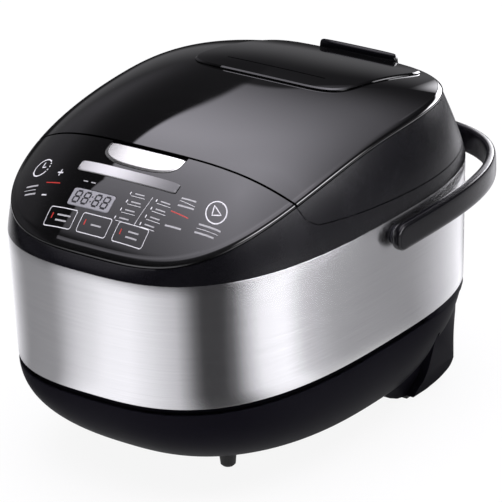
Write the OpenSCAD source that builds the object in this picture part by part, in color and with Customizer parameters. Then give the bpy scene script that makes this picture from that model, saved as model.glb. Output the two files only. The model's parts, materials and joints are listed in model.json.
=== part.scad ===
// Flip-lid electric multi cooker with a gloss shield-shaped top, a brushed steel band
// and a bail handle. Millimetres, +Z up. The origin is on the table, under the middle
// of the overall box. The front, with the control panel, faces -Y.

/* [Body plan] */
// Half of the body's width at the top of the steel band
body_half_w = 132.5; // [125:0.5:140]
// Depth of the front half, from the widest section forward
body_front = 209; // [200:1:220]
// Depth of the rear half, from the widest section back
body_rear = 167; // [160:1:172]
// Place of the widest section along Y
widest_y = 9; // [0:1:14]
// Squareness of the front half of the plan
front_square = 2.9; // [2.4:0.1:3.4]
// Squareness of the rear half of the plan
rear_square = 2.8; // [2.4:0.1:3.2]

/* [Steel band] */
// Height of the band's lower edge above the table
band_z = 79; // [74:1:86]
// Height of the steel band
band_h = 97.5; // [90:0.5:110]
// Thickness of the steel sheet
band_wall = 0.8; // [0.6:0.1:1.2]
// How far the band draws in at its lower edge
band_taper = 2.4; // [0:0.2:4]

/* [Base] */
// Height of the base's underside above the table
base_z = 16; // [12:1:20]
// Wall of the base, the collar and the lid mouldings
wall = 2.8; // [2.2:0.1:3.4]
// Depth of the shadow step under the band
step_in = 3.5; // [2:0.5:5]
// Height of the shadow step under the band
step_h = 4.8; // [3:0.2:7]
// Inset of the underside from the band at the sides
base_in_side = 26; // [18:1:34]
// Inset of the underside from the band at the front
base_in_front = 54; // [40:1:66]
// Inset of the underside from the band at the rear
base_in_rear = 45; // [30:1:50]
// How late the skirt turns inward, 1 is a straight taper
base_bulge = 2.3; // [1.6:0.1:3]
// How full the base's rear stays on the way down, 1 for a straight slope
base_rear_bulge = 1.1; // [1:0.1:2]
// Squareness of the base's underside, 2 for an ellipse
base_square = 2.46; // [2.2:0.02:2.9]
// Sideways place of the front feet
front_foot_x = 55; // [45:1:65]
// Place of the front feet along Y
front_foot_y = -109; // [-116:1:-96]
// Sideways place of the rear legs
rear_leg_x = 97; // [90:1:100]
// Place of the rear legs along Y
rear_leg_y = 78; // [68:1:86]
// Thickness of the rear legs' rubber pads
pad_h = 2; // [1.5:0.5:3]

/* [Gloss top] */
// How far the shoulder draws in at the sides
shoulder_in_side = 9.6; // [7:0.1:14]
// How far the shoulder draws in at the front
shoulder_in_front = 7.6; // [4:0.2:12]
// How far the shoulder draws in at the rear
shoulder_in_rear = 17.5; // [15:0.5:22]
// Squareness of the gloss top's front half
top_front_square = 3.4; // [2.8:0.1:3.8]
// Squareness of the gloss top's rear half
top_rear_square = 2.6; // [2.3:0.1:3]
// Radius of the arch that the gloss top's edge follows
arch_r = 551; // [520:1:600]
// Place of the arch's highest point along Y
arch_y = 42.4; // [36:0.2:50]
// Height of the arch's highest point
arch_z = 234.7; // [231:0.1:238]
// Height of the rolled edge
roll_h = 5.7; // [4:0.1:7]
// Width of the rolled edge in plan
roll_w = 3.1; // [2:0.1:4]
// Rise of the crown above the rolled edge at Y = 0
crown_h = 17.1; // [14:0.1:20]
// How much the crown sinks per millimetre towards the rear
crown_fall = 0.095; // [0.07:0.005:0.12]
// Flatness of the crown
crown_flat = 4.1; // [3:0.1:5]
// Thickness of the gloss mouldings
gloss_wall = 2.4; // [2:0.1:3]

/* [Lid] */
// Place along Y of the front split, where it meets the crown
split_y = -115.5; // [-117:0.5:-114]
// Height of the front split, where it meets the crown
split_z = 242; // [238:1:246]
// Lean of the front split from upright
split_lean = 30; // [26:1:34]
// Height of the side split, where it runs level at the rear
side_split_z = 187; // [186:0.5:188]
// Place along Y where the side split starts to rise towards the front
side_split_y = 80; // [60:5:100]
// Radius of the side split's rise
side_split_r = 1190; // [1100:10:1400]
// Gap between the lid and the body
lid_gap = 0.8; // [0.6:0.1:1.2]
// How far the lid opens
lid_open = 85; // [60:1:88]

/* [Pot] */
// Inner radius of the inner pot
pot_r = 107; // [100:1:108]
// Wall of the inner pot
pot_wall = 2; // [1.5:0.1:2.6]
// How far the pot's rim reaches out past its wall
pot_lip = 6; // [5:0.5:7]
// Place of the pot's axis along Y
pot_y = 12; // [10:1:14]
// Height of the pot's underside above the table
pot_z = 50; // [46:1:60]
// Height of the deck that carries the pot's rim
deck_z = 182; // [181:0.5:183]

/* [Steam vent cover] */
// Half of the cover's width
vent_half_w = 71; // [64:1:74]
// Front edge of the cover along Y
vent_front_y = 17; // [13:1:22]
// Rear edge of the cover along Y
vent_rear_y = 143; // [136:1:146]
// Thickness of the cover
vent_t = 1.7; // [1.4:0.1:2.4]
// Half of the length of the steam slot
slot_half_w = 45; // [36:1:48]
// Place of the steam slot along Y
slot_y = 40; // [37:1:46]

/* [Handle] */
// Gap between the body's sides and the bail handle
bail_gap = 2.5; // [2.3:0.1:6]
// Room for fingers between the body's rear and the bail
bail_room = 16; // [12:0.5:24]
// Squareness of the bail in plan
bail_square = 3.4; // [3:0.1:4]
// Height of the bail's strap
bail_h = 21; // [18:0.5:23]
// Thickness of the bail's strap
bail_t = 8; // [6:0.5:8.5]
// Place of the pivots along Y
pivot_y = 2; // [-2:1:6]
// Height of the pivots above the table
pivot_z = 162.5; // [160:0.5:164]
// Radius of the bail's pivot stubs
stub_r = 4.5; // [4:0.5:5]

/* [Hidden] */
pot_rim_r = pot_r + pot_wall + pot_lip;

steps = 56;           // points round each loft ring
fine = 96;            // facets of large round parts in the preview
small = 32;           // facets of small round parts in the preview
clear = 0.3;          // gap between pieces that don't touch
run = 0.05;           // radial running clearance
tiny = 0.05;          // overlap that makes a cut run through
far = 400;            // longer than any piece
black = [0.06, 0.06, 0.065];
satin = [0.13, 0.13, 0.14];
steel = [0.72, 0.72, 0.73];
dark_grey = [0.25, 0.25, 0.27];
pale_grey = [0.7, 0.7, 0.68];
aluminium = [0.78, 0.78, 0.8];
board_green = [0.1, 0.35, 0.2];
silicone = [0.85, 0.85, 0.82];

band_top = band_z + band_h;
rear_y = widest_y + body_rear;
top_half_w = body_half_w - shoulder_in_side;
top_front = body_front - shoulder_in_front;
top_rear = body_rear - shoulder_in_rear;
bail_half_w = body_half_w + bail_gap + bail_t;
bail_reach = rear_y + bail_room + bail_t - pivot_y;

// ---- plan curves ----

function signed_pow(v, e) = sign(v) * pow(abs(v), e);

// Point at angle t of an oval made of two half superellipses that meet at y = widest_y.
function oval_point(half_w, front, rear, sq_front, sq_rear, t) =
    let (
        c = cos(t),
        s = sin(t),
        depth = s < 0 ? front : rear,
        square_by = s < 0 ? sq_front : sq_rear
    )
    [half_w * signed_pow(c, 2 / square_by), widest_y + depth * signed_pow(s, 2 / square_by)];

function turn(i) = 360 * i / steps;

// The body's plan drawn in by side, front and rear amounts.
function body_point(t, side, front, rear) =
    oval_point(body_half_w - side, body_front - front, body_rear - rear, front_square, rear_square, t);

function body_outline(inset) = [for (i = [0 : steps - 1]) body_point(turn(i), inset, inset, inset)];

// The gloss top's plan drawn in by one amount.
function top_point(t, inset) =
    oval_point(top_half_w - inset, top_front - inset, top_rear - inset,
        top_front_square, top_rear_square, t);

// ---- heights of the gloss top ----

function edge_z(y) = arch_z - pow(y - arch_y, 2) / (2 * arch_r);
function crown_at(y) = crown_h - crown_fall * y;

// How far out a place lies on the crown, 0 in the middle and 1 at the rolled edge.
function spread(x, y) =
    let (
        depth = (y < widest_y ? top_front : top_rear) - roll_w,
        square_by = y < widest_y ? top_front_square : top_rear_square
    )
    min(1, pow(
        pow(abs(x) / (top_half_w - roll_w), square_by) + pow(abs(y - widest_y) / depth, square_by),
        1 / square_by));

function gloss_z(x, y) = edge_z(y) + roll_h + crown_at(y) * (1 - pow(spread(x, y), crown_flat));

// ---- lofts ----

function middle(ring) = [
    for (k = [0 : 2])
        let (v = [for (p = ring) p[k]])
        v * [for (p = ring) 1] / len(ring)
];

// Triangles between two neighbouring rings of n points.
function quads(j, k, n) = [
    for (i = [0 : n - 1])
        let (i2 = (i + 1) % n)
        each [[j * n + i, k * n + i, k * n + i2], [j * n + i, k * n + i2, j * n + i2]]
];

// Solid whose rings run from the middle of its underside, up its outside, to the middle of
// its top or of its cavity floor. Both end rings are closed with a fan.
module loft(rings) {
    n = len(rings[0]);
    m = len(rings);
    low = n * m;
    high = low + 1;
    polyhedron(
        points = [for (r = rings) each r, middle(rings[0]), middle(rings[m - 1])],
        faces = [
            for (j = [0 : m - 2]) each quads(j, j + 1, n),
            for (i = [0 : n - 1]) [low, i, (i + 1) % n],
            for (i = [0 : n - 1]) [high, (m - 1) * n + (i + 1) % n, (m - 1) * n + i]
        ]);
}

// Closed tube whose rings run up the outside and down the inside.
module tube_loft(rings) {
    n = len(rings[0]);
    m = len(rings);
    polyhedron(
        points = [for (r = rings) each r],
        faces = [for (j = [0 : m - 1]) each quads(j, (j + 1) % m, n)]);
}

function body_ring(z, side, front, rear) = [
    for (i = [0 : steps - 1])
        let (p = body_point(turn(i), side, front, rear)) [p[0], p[1], z]
];

// Ring of the crown at a share of the way out, moved down by drop and drawn in by inset.
function crown_ring(share, inset, drop) = [
    for (i = [0 : steps - 1])
        let (
            p = top_point(turn(i), roll_w + inset),
            x = p[0] * share,
            y = widest_y + (p[1] - widest_y) * share,
            z = edge_z(y) + roll_h + crown_at(y) * (1 - pow(share, crown_flat))
        )
        [x, y, z - drop]
];

// Ring of the rolled edge, drawn in from the gloss top's outline and raised from its arch.
function edge_ring(inset, raise) = [
    for (i = [0 : steps - 1])
        let (p = top_point(turn(i), inset)) [p[0], p[1], edge_z(p[1]) + raise]
];

// Ring of the shoulder between the band's top, share 0, and the gloss top's edge, share 1.
shoulder_bulge = 1.2;
function shoulder_ring(share, inset) = [
    for (i = [0 : steps - 1])
        let (
            low = body_point(turn(i), inset, inset, inset),
            top = top_point(turn(i), inset),
            mix = pow(share, shoulder_bulge),
            p = low + (top - low) * mix
        )
        [p[0], p[1], band_top + (edge_z(top[1]) - band_top) * share]
];

shoulder_shares = [0, 0.25, 0.5, 0.75, 1];

module shoulder_shell() {
    last = len(shoulder_shares) - 1;
    tube_loft([
        for (s = shoulder_shares) shoulder_ring(s, 0),
        for (k = [0 : last]) shoulder_ring(shoulder_shares[last - k], wall)
    ]);
}

crown_shares = [0.25, 0.5, 0.68, 0.8, 0.9, 0.96, 1];
groove = 0.7;         // gap under the gloss top's rolled edge

module gloss_shell() {
    last = len(crown_shares) - 1;
    loft([
        for (s = crown_shares) crown_ring(s, gloss_wall, gloss_wall),
        edge_ring(gloss_wall + 0.4, groove),
        edge_ring(0.4, groove),
        edge_ring(0, groove + 1.2),
        edge_ring(0.35 * roll_w, 0.72 * roll_h),
        for (k = [0 : last]) crown_ring(crown_shares[last - k], 0, 0)
    ]);
}

// ---- the split between lid and body, drawn in the YZ plane ----

above = 300;          // height well over the lid
split_corner = 6;     // size of the eased corner where the two splits meet
function lean_y(z) = split_y + (split_z - z) * tan(split_lean);
function side_z(y) = side_split_z + pow(max(0, side_split_y - y), 2) / (2 * side_split_r);
corner_y = lean_y(side_split_z + 10);
corner_z = side_z(corner_y) + split_corner;

// Side view of the space that belongs to the lid, shrunk by gap.
function lid_side(gap) = [
    [lean_y(above) + gap / cos(split_lean), above],
    [lean_y(corner_z) + gap / cos(split_lean), corner_z],
    for (k = [0 : 5])
        let (y = corner_y + split_corner + (side_split_y - corner_y - split_corner) * k / 5)
        [y, side_z(y) + gap],
    [far, side_split_z + gap],
    [far, above]
];

module side_prism(points) {
    rotate([90, 0, 90]) linear_extrude(2 * far, center = true) polygon(points);
}

module lid_space(gap) {
    side_prism(lid_side(gap));
}

// Oval outline round a centre, with its own depth and squareness towards the front.
function pad_outline(cx, cy, a, b, sq, front_b, front_sq) = [
    for (i = [0 : steps - 1])
        let (t = turn(i), front = sin(t) < 0, n = front ? front_sq : sq, d = front ? front_b : b)
        [cx + a * signed_pow(cos(t), 2 / n), cy + d * signed_pow(sin(t), 2 / n)]
];

// Solid with an oval outline whose underside and top follow the gloss top at the heights low
// and high over it. Its upper rim is eased by round_by.
module pad(plan, low, high, round_by, layers = 2) {
    function ring(share, inset, raise) = [
        for (p = pad_outline(plan[0], plan[1], (plan[2] - inset) * share, (plan[3] - inset) * share, plan[4],
            (plan[5] - inset) * share, plan[6]))
            [p[0], p[1], gloss_z(p[0], p[1]) + raise]
    ];
    loft([
        for (k = [1 : layers]) ring(k / layers, 0, low),
        ring(1, 0, high - round_by),
        for (k = [0 : layers - 1]) ring(1 - k / layers, round_by, high)
    ]);
}

// Upright hole of a pad's plan, wider by gap.
module pad_hole(plan, gap) {
    translate([0, 0, above / 2]) linear_extrude(above / 2) polygon(
        pad_outline(plan[0], plan[1], plan[2] + gap, plan[3] + gap, plan[4], plan[5] + gap, plan[6]));
}

// ---- small shared shapes ----

// Cylinder along X from x1 to x2.
module rod_x(x1, x2, r) {
    translate([x1, 0, 0]) rotate([0, 90, 0]) cylinder(r = r, h = x2 - x1, $fn = small);
}

module both_sides() {
    for (side = [0, 1]) mirror([side, 0, 0]) children();
}

module box(x1, x2, y1, y2, z1, z2) {
    translate([x1, y1, z1]) cube([x2 - x1, y2 - y1, z2 - z1]);
}

// Stadium of half length half_w and radius r along X.
module stadium(half_w, r) {
    square([2 * (half_w - r), 2 * r], center = true);
    both_sides() translate([half_w - r, 0]) circle(r, $fn = small);
}

// Close-wound coil: a stack of round turns about Z.
module coil(r, wire, h) {
    turns = floor(h / wire);
    rotate_extrude($fn = small) intersection() {
        union() {
            for (k = [0 : turns - 1]) translate([r, (k + 0.5) * h / turns]) circle(wire * 0.56, $fn = 8);
        }
        translate([0, 0]) square([2 * r, h]);
    }
}

// ---- base ----

base_floor = base_z + wall;
step_z = band_z - step_h;
rear_block_y = 51;    // the base is flush with the band behind this line

// How far down the skirt a height lies, 0 at the band and 1 at the underside.
function skirt_drop(z) = max(0, band_z - z) / (band_z - base_z);

// Ring of the base's skirt at height z, drawn in by inset.
function skirt_ring(z, inset) =
    let (
        k = pow(skirt_drop(z), base_bulge),
        rear_k = pow(skirt_drop(z), base_rear_bulge),
        half_w = body_half_w - band_taper - (base_in_side - band_taper) * k,
        front = body_front - band_taper - (base_in_front - band_taper) * k,
        rear = body_rear - band_taper - (base_in_rear - band_taper) * rear_k,
        front_sq = front_square + (base_square - front_square) * k,
        rear_sq = rear_square + (base_square - rear_square) * k
    )
    [for (i = [0 : steps - 1])
        let (p = oval_point(half_w - inset, front - inset, rear - inset, front_sq, rear_sq, turn(i)))
        [p[0], p[1], z]];

bottom_round = 4;
skirt_heights = [base_z + bottom_round, base_z + 12, base_z + 24, base_z + 38, step_z];

module skirt_solid() {
    loft([
        skirt_ring(base_z, bottom_round),
        skirt_ring(base_z + 1, 1.2),
        for (z = skirt_heights) skirt_ring(z, 0),
        skirt_ring(step_z, step_in),
        skirt_ring(band_z, step_in + band_taper)
    ]);
}

module skirt_cavity() {
    loft([
        skirt_ring(base_floor, wall + bottom_round),
        for (k = [1 : 3]) skirt_ring(skirt_heights[k], wall),
        skirt_ring(step_z, step_in + wall),
        skirt_ring(band_z + tiny, step_in + band_taper + wall)
    ]);
}

// Upright bar with a side view drawn in YZ and a front view drawn in XZ.
module bar(side_view, front_view) {
    intersection() {
        side_prism(side_view);
        translate([0, far, 0]) rotate([90, 0, 0]) linear_extrude(2 * far) polygon(front_view);
    }
}

leg_top = 60;         // height where the leg has run out into the skirt
leg_inset = 8;        // how far the leg stays inside the body's plan
leg_in = rear_leg_x - 11;
leg_out = rear_leg_x + 7;

// Points of a side view, given from the leg's middle.
function from_leg(points) = [for (p = points) [rear_leg_y + p[0], p[1]]];

leg_heel = [[30, 9 + pad_h], [31, 20], [31.5, 30], [33, 38], [37, 46], [44, 52], [52, leg_top]];
leg_toe = [[-8.5, leg_top], [-8.5, 44], [-7.5, 34], [-6.5, 25], [-6.5, 18], [-9, 11.6], [-14, 8],
    [-21, pad_h]];
leg_brace = [[-54, 16], [-44, 9], [-33, 4], [-24, pad_h], [-3, pad_h], [4, leg_top - 2],
    [-16, leg_top - 2], [-26, 44], [-54, 30]];
leg_step = 7;         // how far the hollow's back wall lies inside the leg's skin
leg_sole = [[-3, pad_h], [12, 4], [21, 6.5], [27, 9.2]];
arch_top = leg_top - 6;
// Curve of the skirt's lower edge in front of the leg, up to where the two meet.
arch = [[-60, 5], [-44, 11], [-30, 14.5], [-22, 20], [-16.5, 28], [-12, 39], [-9.2, arch_top]];

// Front view of the leg, from its inside to its skin, which runs on from the skirt.
function leg_skin(out) = [[leg_in, 0], [leg_out + out + 4, 0], [leg_out + out + 6, 12],
    [leg_out + out + 9.5, 24], [leg_out + out + 15, 41], [leg_out + out + 20, leg_top], [leg_in, leg_top]];

module rear_leg() {
    intersection() {
        bar(from_leg(concat(leg_toe, leg_sole, leg_heel)), leg_skin(0));
        linear_extrude(leg_top) polygon(body_outline(leg_inset));
    }
    bar(from_leg(leg_brace), leg_skin(-leg_step));
}

// Hollow in the skirt in front of the leg.
module leg_hollow() {
    difference() {
        side_prism(from_leg(concat(arch, [[-4, arch_top], [-4, 5]])));
        translate([0, far, 0]) rotate([90, 0, 0]) linear_extrude(2 * far) union() {
            polygon(leg_skin(-leg_step));
            translate([-far, -1]) square([far + leg_in + tiny, far]);
        }
    }
}

inlet_x = -52;
inlet_z = 48;
inlet_w = 28;
inlet_h = 20;
inlet_y = rear_y - 42;
inlet_face = rear_y - 16;
board_y = -129;       // middle of the power board
board_z = 34;
board_w = 96;
board_d = 38;
board_t = 1.6;
post_r = 4;
screw_r = 1.5;
screw_head_r = 3.4;
screw_head_h = 2.2;
screw_bite = 14;      // how far a base screw runs into its post
// Posts of the collar: x, y, height of the foot, height of the screw head's seat.
posts = [[68, -90, base_floor, base_z + 1.2], [95.5, 89, leg_top, leg_top - 16]];
heater_post_r = 4;
heater_post_ring = 60;
plate_z = 38;         // underside of the heating plate

module on_heater_posts() {
    for (a = [30, 150, 270])
        translate([heater_post_ring * cos(a), pot_y + heater_post_ring * sin(a), 0]) children();
}

module base_pan() color(satin) {
    difference() {
        union() {
            difference() {
                skirt_solid();
                skirt_cavity();
                both_sides() leg_hollow();
            }
            both_sides() rear_leg();
            translate([0, 0, step_z - 1]) linear_extrude(step_h + 1 - clear) intersection() {
                difference() {
                    polygon(body_outline(band_taper + 0.2));
                    polygon(body_outline(band_taper + wall + 1.5));
                }
                translate([-far, rear_block_y]) square(2 * far);
            }
            box(inlet_x - inlet_w / 2 - 5, inlet_x + inlet_w / 2 + 5, inlet_y + 4, inlet_face - 1.5,
                inlet_z - inlet_h / 2 - 5, inlet_z + inlet_h / 2 + 5);
        }
        translate([0, pot_y, shield_z - 2]) cylinder(r = shield_r + 1.5, h = far, $fn = fine);
        box(inlet_x - inlet_w / 2 - clear, inlet_x + inlet_w / 2 + clear, inlet_y, far,
            inlet_z - inlet_h / 2 - clear, inlet_z + inlet_h / 2 + clear);
        both_sides() for (p = posts) translate([p[0], p[1], 0]) {
            cylinder(r = screw_r + clear, h = p[2] + 1, $fn = small);
            cylinder(r = screw_head_r + clear, h = p[3], $fn = small);
        }
        both_sides() for (k = [0 : 3]) box(20, 52, pot_y - 30 + 18 * k, pot_y - 26 + 18 * k,
            base_z - 1, base_floor + 1);
    }
    on_heater_posts() translate([0, 0, base_floor - 1]) cylinder(r = heater_post_r - 1, h = 5, $fn = small);
    both_sides() for (d = [-1, 1])
        translate([board_w / 2 - 6, board_y + d * (board_d / 2 - 5), base_floor - 1])
            cylinder(r = 3, h = board_z - base_floor + 1, $fn = small);
}

module base_screws() color(steel) {
    both_sides() for (p = posts) translate([p[0], p[1], p[3] - screw_head_h]) {
        cylinder(r = screw_head_r, h = screw_head_h, $fn = small);
        cylinder(r = screw_r, h = p[2] - p[3] + screw_head_h + screw_bite, $fn = small);
    }
}

module front_feet() color(black) {
    both_sides() translate([front_foot_x, front_foot_y, 0]) {
        cylinder(r1 = 4.2, r2 = 5.7, h = 1.5, $fn = small);
        translate([0, 0, 1.5]) cylinder(r1 = 5.7, r2 = 7.2, h = base_z - 1.5, $fn = small);
    }
}

module rear_foot_pads() color(black) {
    both_sides() box(leg_in + 2, leg_out - 1, rear_leg_y - 22, rear_leg_y - 5, 0, pad_h);
}

// ---- steel band and rear panel ----

rear_panel_w = 96;
rear_cut_y = rear_y - 76;

module steel_band() color(steel) {
    difference() {
        tube_loft([
            body_ring(band_z, band_taper, band_taper, band_taper),
            body_ring(band_top, 0, 0, 0),
            body_ring(band_top, band_wall, band_wall, band_wall),
            body_ring(band_z, band_taper + band_wall, band_taper + band_wall, band_taper + band_wall)
        ]);
        box(-rear_panel_w / 2 - clear, rear_panel_w / 2 + clear, rear_cut_y, far, 0, far);
        translate([0, pivot_y, pivot_z]) rod_x(-far, far, bush_r + clear / 2);
    }
}

dew_w = 68;
dew_h = 40;
dew_t = 13;
dew_z = 106;
dew_y = rear_y - 7.4;

module rear_panel() color(satin) {
    difference() {
        union() {
            translate([0, 0, band_z]) linear_extrude(band_h) intersection() {
                difference() {
                    polygon(body_outline(-1.2));
                    polygon(body_outline(wall));
                }
                translate([-rear_panel_w / 2, rear_cut_y]) square([rear_panel_w, far]);
            }
            box(-dew_w / 2 - 5, dew_w / 2 + 5, dew_y - 4, dew_y + 5, dew_z - 5, dew_z + dew_h + 6);
        }
        box(-dew_w / 2 - clear, dew_w / 2 + clear, dew_y - clear, far, dew_z, dew_z + dew_h + 2);
    }
}

module dew_collector() color(pale_grey) {
    difference() {
        box(-dew_w / 2, dew_w / 2, dew_y, dew_y + dew_t, dew_z, dew_z + dew_h);
        box(-dew_w / 2 + 2, dew_w / 2 - 2, dew_y + 2, dew_y + dew_t - 2, dew_z + 2, dew_z + dew_h + 1);
    }
    box(-12, 12, dew_y + dew_t - tiny, dew_y + dew_t + 3, dew_z + dew_h - 8, dew_z + dew_h - 5);
}

// ---- mains parts ----

module power_inlet() color(black) {
    difference() {
        union() {
            box(inlet_x - inlet_w / 2, inlet_x + inlet_w / 2, inlet_y, inlet_face, inlet_z - inlet_h / 2,
                inlet_z + inlet_h / 2);
            box(inlet_x - inlet_w / 2 - 2, inlet_x + inlet_w / 2 + 2, inlet_face - tiny, inlet_face + 1.6,
                inlet_z - inlet_h / 2 - 2, inlet_z + inlet_h / 2 + 2);
        }
        box(inlet_x - inlet_w / 2 + 2, inlet_x + inlet_w / 2 - 2, inlet_y + 5, far,
            inlet_z - inlet_h / 2 + 2, inlet_z + inlet_h / 2 - 2);
    }
}

module inlet_blades() color(steel) {
    for (k = [-1, 0, 1]) box(inlet_x + 7 * k - 1, inlet_x + 7 * k + 1, inlet_y + 5, inlet_y + 17,
        inlet_z - 2 + 2 * (1 - abs(k)), inlet_z + 2 + 2 * (1 - abs(k)));
}

// Blocks for the board's choke and relay: x, y from the board's middle, width, depth, height.
board_blocks = [[-27, -3, 26, 22, 21], [27, 0, 18, 16, 15]];
capacitor_r = 6;
capacitor_h = 22;

module power_board() color(board_green) {
    box(-board_w / 2, board_w / 2, board_y - board_d / 2, board_y + board_d / 2, board_z, board_z + board_t);
    for (b = board_blocks)
        box(b[0] - b[2] / 2, b[0] + b[2] / 2, board_y + b[1] - b[3] / 2, board_y + b[1] + b[3] / 2,
            board_z + 1, board_z + 1 + b[4]);
    translate([2, board_y, board_z + 1]) cylinder(r = capacitor_r, h = capacitor_h, $fn = small);
}

// ---- heating ----

shield_r = 114.3;
shield_z = 34;
shield_t = 0.8;
shield_hole_r = 88;

module heat_shield() color(aluminium) {
    top = deck_z - wall;
    translate([0, pot_y, 0]) rotate_extrude($fn = fine) polygon([
        [shield_hole_r, shield_z], [shield_r, shield_z], [shield_r, top - 1], [shield_r + 4, top - 1],
        [shield_r + 4, top], [shield_r - shield_t, top], [shield_r - shield_t, shield_z + shield_t],
        [shield_hole_r, shield_z + shield_t]
    ]);
}

plate_r = 80;
sensor_r = 14;

module heating_plate() color(aluminium) {
    translate([0, pot_y, 0]) rotate_extrude($fn = fine) polygon([
        [sensor_r + 2, plate_z], [plate_r - 3, plate_z], [plate_r, plate_z + 3], [plate_r, pot_z - 2],
        [plate_r - 2, pot_z - clear], [sensor_r + 3, pot_z - clear], [sensor_r + 2, pot_z - 1.5]
    ]);
    for (x = [-30, 30]) translate([x, pot_y - 50, plate_z - 8]) cylinder(r = 2, h = 8.5, $fn = small);
}

module plate_posts() color(steel) {
    on_heater_posts() translate([0, 0, base_floor]) difference() {
        cylinder(r = heater_post_r + 1, h = plate_z - base_floor, $fn = small);
        translate([0, 0, -1]) cylinder(r = heater_post_r - 1 + run, h = 6, $fn = small);
    }
}

module thermal_sensor() color(steel) {
    translate([0, pot_y, 0]) {
        translate([0, 0, pot_z - 6]) cylinder(r = sensor_r, h = 5.8, $fn = fine);
        translate([0, 0, base_floor + 8]) cylinder(r = 5, h = pot_z - base_floor - 10, $fn = small);
    }
}

module sensor_spring() color(steel) {
    translate([0, pot_y, base_floor]) coil(8, 1.6, pot_z - 6 - base_floor);
}

module thermal_fuse() color(pale_grey) {
    translate([0, pot_y - shield_r - 3.2, pot_z + 14]) rod_x(-12, 12, 3);
}

// ---- inner pot ----

pot_corner = 22;
rim_t = 2;

module inner_pot() color(dark_grey) {
    ro = pot_r + pot_wall;
    ri = pot_r;
    arc = [for (k = [0 : 5]) -90 + 18 * k];
    back = [for (k = [0 : 5]) -18 * k];
    translate([0, pot_y, 0]) rotate_extrude($fn = fine) polygon(concat(
        [[0, pot_z]],
        [for (a = arc) [ro - pot_corner + pot_corner * cos(a), pot_z + pot_corner + pot_corner * sin(a)]],
        [[ro, deck_z], [pot_rim_r, deck_z], [pot_rim_r, deck_z + rim_t], [ri, deck_z + rim_t]],
        [for (a = back) [ro - pot_corner + (pot_corner - pot_wall) * cos(a),
            pot_z + pot_corner + (pot_corner - pot_wall) * sin(a)]],
        [[0, pot_z + pot_wall]]
    ));
}

// ---- upper collar ----

liner_half_w = body_half_w - 7.2;
liner_front = 120.8;
liner_rear = body_rear - 10.3;
liner_z = 188.7;
liner_t = 2.8;

function liner_outline(inset) = [
    for (i = [0 : steps - 1])
        oval_point(liner_half_w - inset, liner_front - inset, liner_rear - inset, 3.2, rear_square, turn(i))
];

bulkhead_gap = 2.4;
bulkhead_top = 236;
bush_r = 6;
bush_in = body_half_w - 10.9;
boss_half_w = 14;
boss_t = 3;
shelf_z = 216;
shelf_t = 2;
shelf_front = -141;
shelf_rear = -116;
latch_y = -133;
latch_z = 216;
catch_y = latch_y + 20.2;
catch_z = latch_z - 10;
catch_t = 1.2;
latch_half_w = 10;
latch_pin_r = 1.5;

module upper_collar() color(satin) {
    difference() {
        union() {
            shoulder_shell();
            translate([0, 0, deck_z - wall]) linear_extrude(wall) intersection() {
                polygon(body_outline(1.6));
                translate([-far, widest_y - liner_front - bulkhead_gap - wall]) square(2 * far);
            }
            translate([0, 0, deck_z - wall]) linear_extrude(bulkhead_top - deck_z + wall) intersection() {
                difference() {
                    polygon(liner_outline(-bulkhead_gap - wall));
                    polygon(liner_outline(-bulkhead_gap));
                }
                translate([-far, -far]) square([2 * far, far - 40]);
            }
        }
        lid_space(0);
        translate([0, pot_y, 0]) cylinder(r = pot_r + pot_wall + 2.5, h = far, $fn = fine);
        box(-latch_half_w - 2, latch_half_w + 2, catch_y - 17.2, catch_y + 12.8, catch_z - 13, catch_z + 7);
    }
    both_sides() {
        for (p = posts) difference() {
            translate([p[0], p[1], p[2] + 2 * run])
                cylinder(r = post_r, h = deck_z - wall - p[2], $fn = small);
            translate([p[0], p[1], 0]) cylinder(r = screw_r, h = p[2] + screw_bite + 2, $fn = small);
        }
        difference() {
            box(bush_in + 1.4, bush_in + 1.4 + boss_t, pivot_y - boss_half_w, pivot_y + boss_half_w,
                pivot_z - boss_half_w, deck_z - wall + 0.5);
            translate([0, pivot_y, pivot_z]) rod_x(0, far, bush_r + run);
        }
        box(latch_half_w + 6, 46, shelf_front, shelf_rear, shelf_z, shelf_z + shelf_t);
        difference() {
            box(latch_half_w + 2.5, latch_half_w + 6, shelf_front, shelf_rear, latch_z - 6, latch_z + 5);
            translate([0, latch_y, latch_z]) rod_x(0, far, latch_pin_r);
        }
    }
}

// ---- control panel ----

// Plans of the pads on the gloss top: centre x and y, half width, depth to the rear and its
// squareness, depth to the front and its squareness.
button_plan = [0, -121, 34, 3.2, 12, 14, 2.8];
button_notch = [0, button_plan[1], button_plan[2], 30, 30, button_plan[5], button_plan[6]];
strip_plan = [0, -142.3, 44.5, 4, 12, 4, 12];
window_x = -17.7;
window_y = -164;
window_plan = [window_x, window_y, 18.8, 5.7, 12, 5.7, 12];
board_tilt = 36;
panel_board_drop = 12;
panel_board_half_w = 55;
panel_board_d = 40;

// Length of a post from the board into the panel's wall, at x and v along the board.
function board_post_h(x, v) =
    let (
        y = window_y + v * cos(board_tilt),
        z = gloss_z(0, window_y) - panel_board_drop + v * sin(board_tilt)
    )
    (gloss_z(x, y) - z) * cos(board_tilt) - 1.6 - gloss_wall / 2;

module on_board() {
    translate([0, window_y, gloss_z(0, window_y) - panel_board_drop]) rotate([board_tilt, 0, 0]) children();
}

module control_panel() color(black) {
    difference() {
        gloss_shell();
        lid_space(0);
        pad_hole(button_notch, clear);
        pad_hole(window_plan, clear);
    }
    for (x = [-48, 48]) for (v = [-14, 16]) on_board() translate([x, v, 1.6])
        cylinder(r = 2.2, h = board_post_h(x, v), $fn = small);
}

module badge_strip() color(steel) {
    pad(strip_plan, 0.35, 0.9, 0.2, 3);
}

module display_window() color(pale_grey) {
    pad(window_plan, -1.6, 0.05, 0.2);
}

module display_module() color(dark_grey) {
    on_board() box(window_x - 17, window_x + 17, -6, 6, 1.6, 5.6);
}

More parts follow.
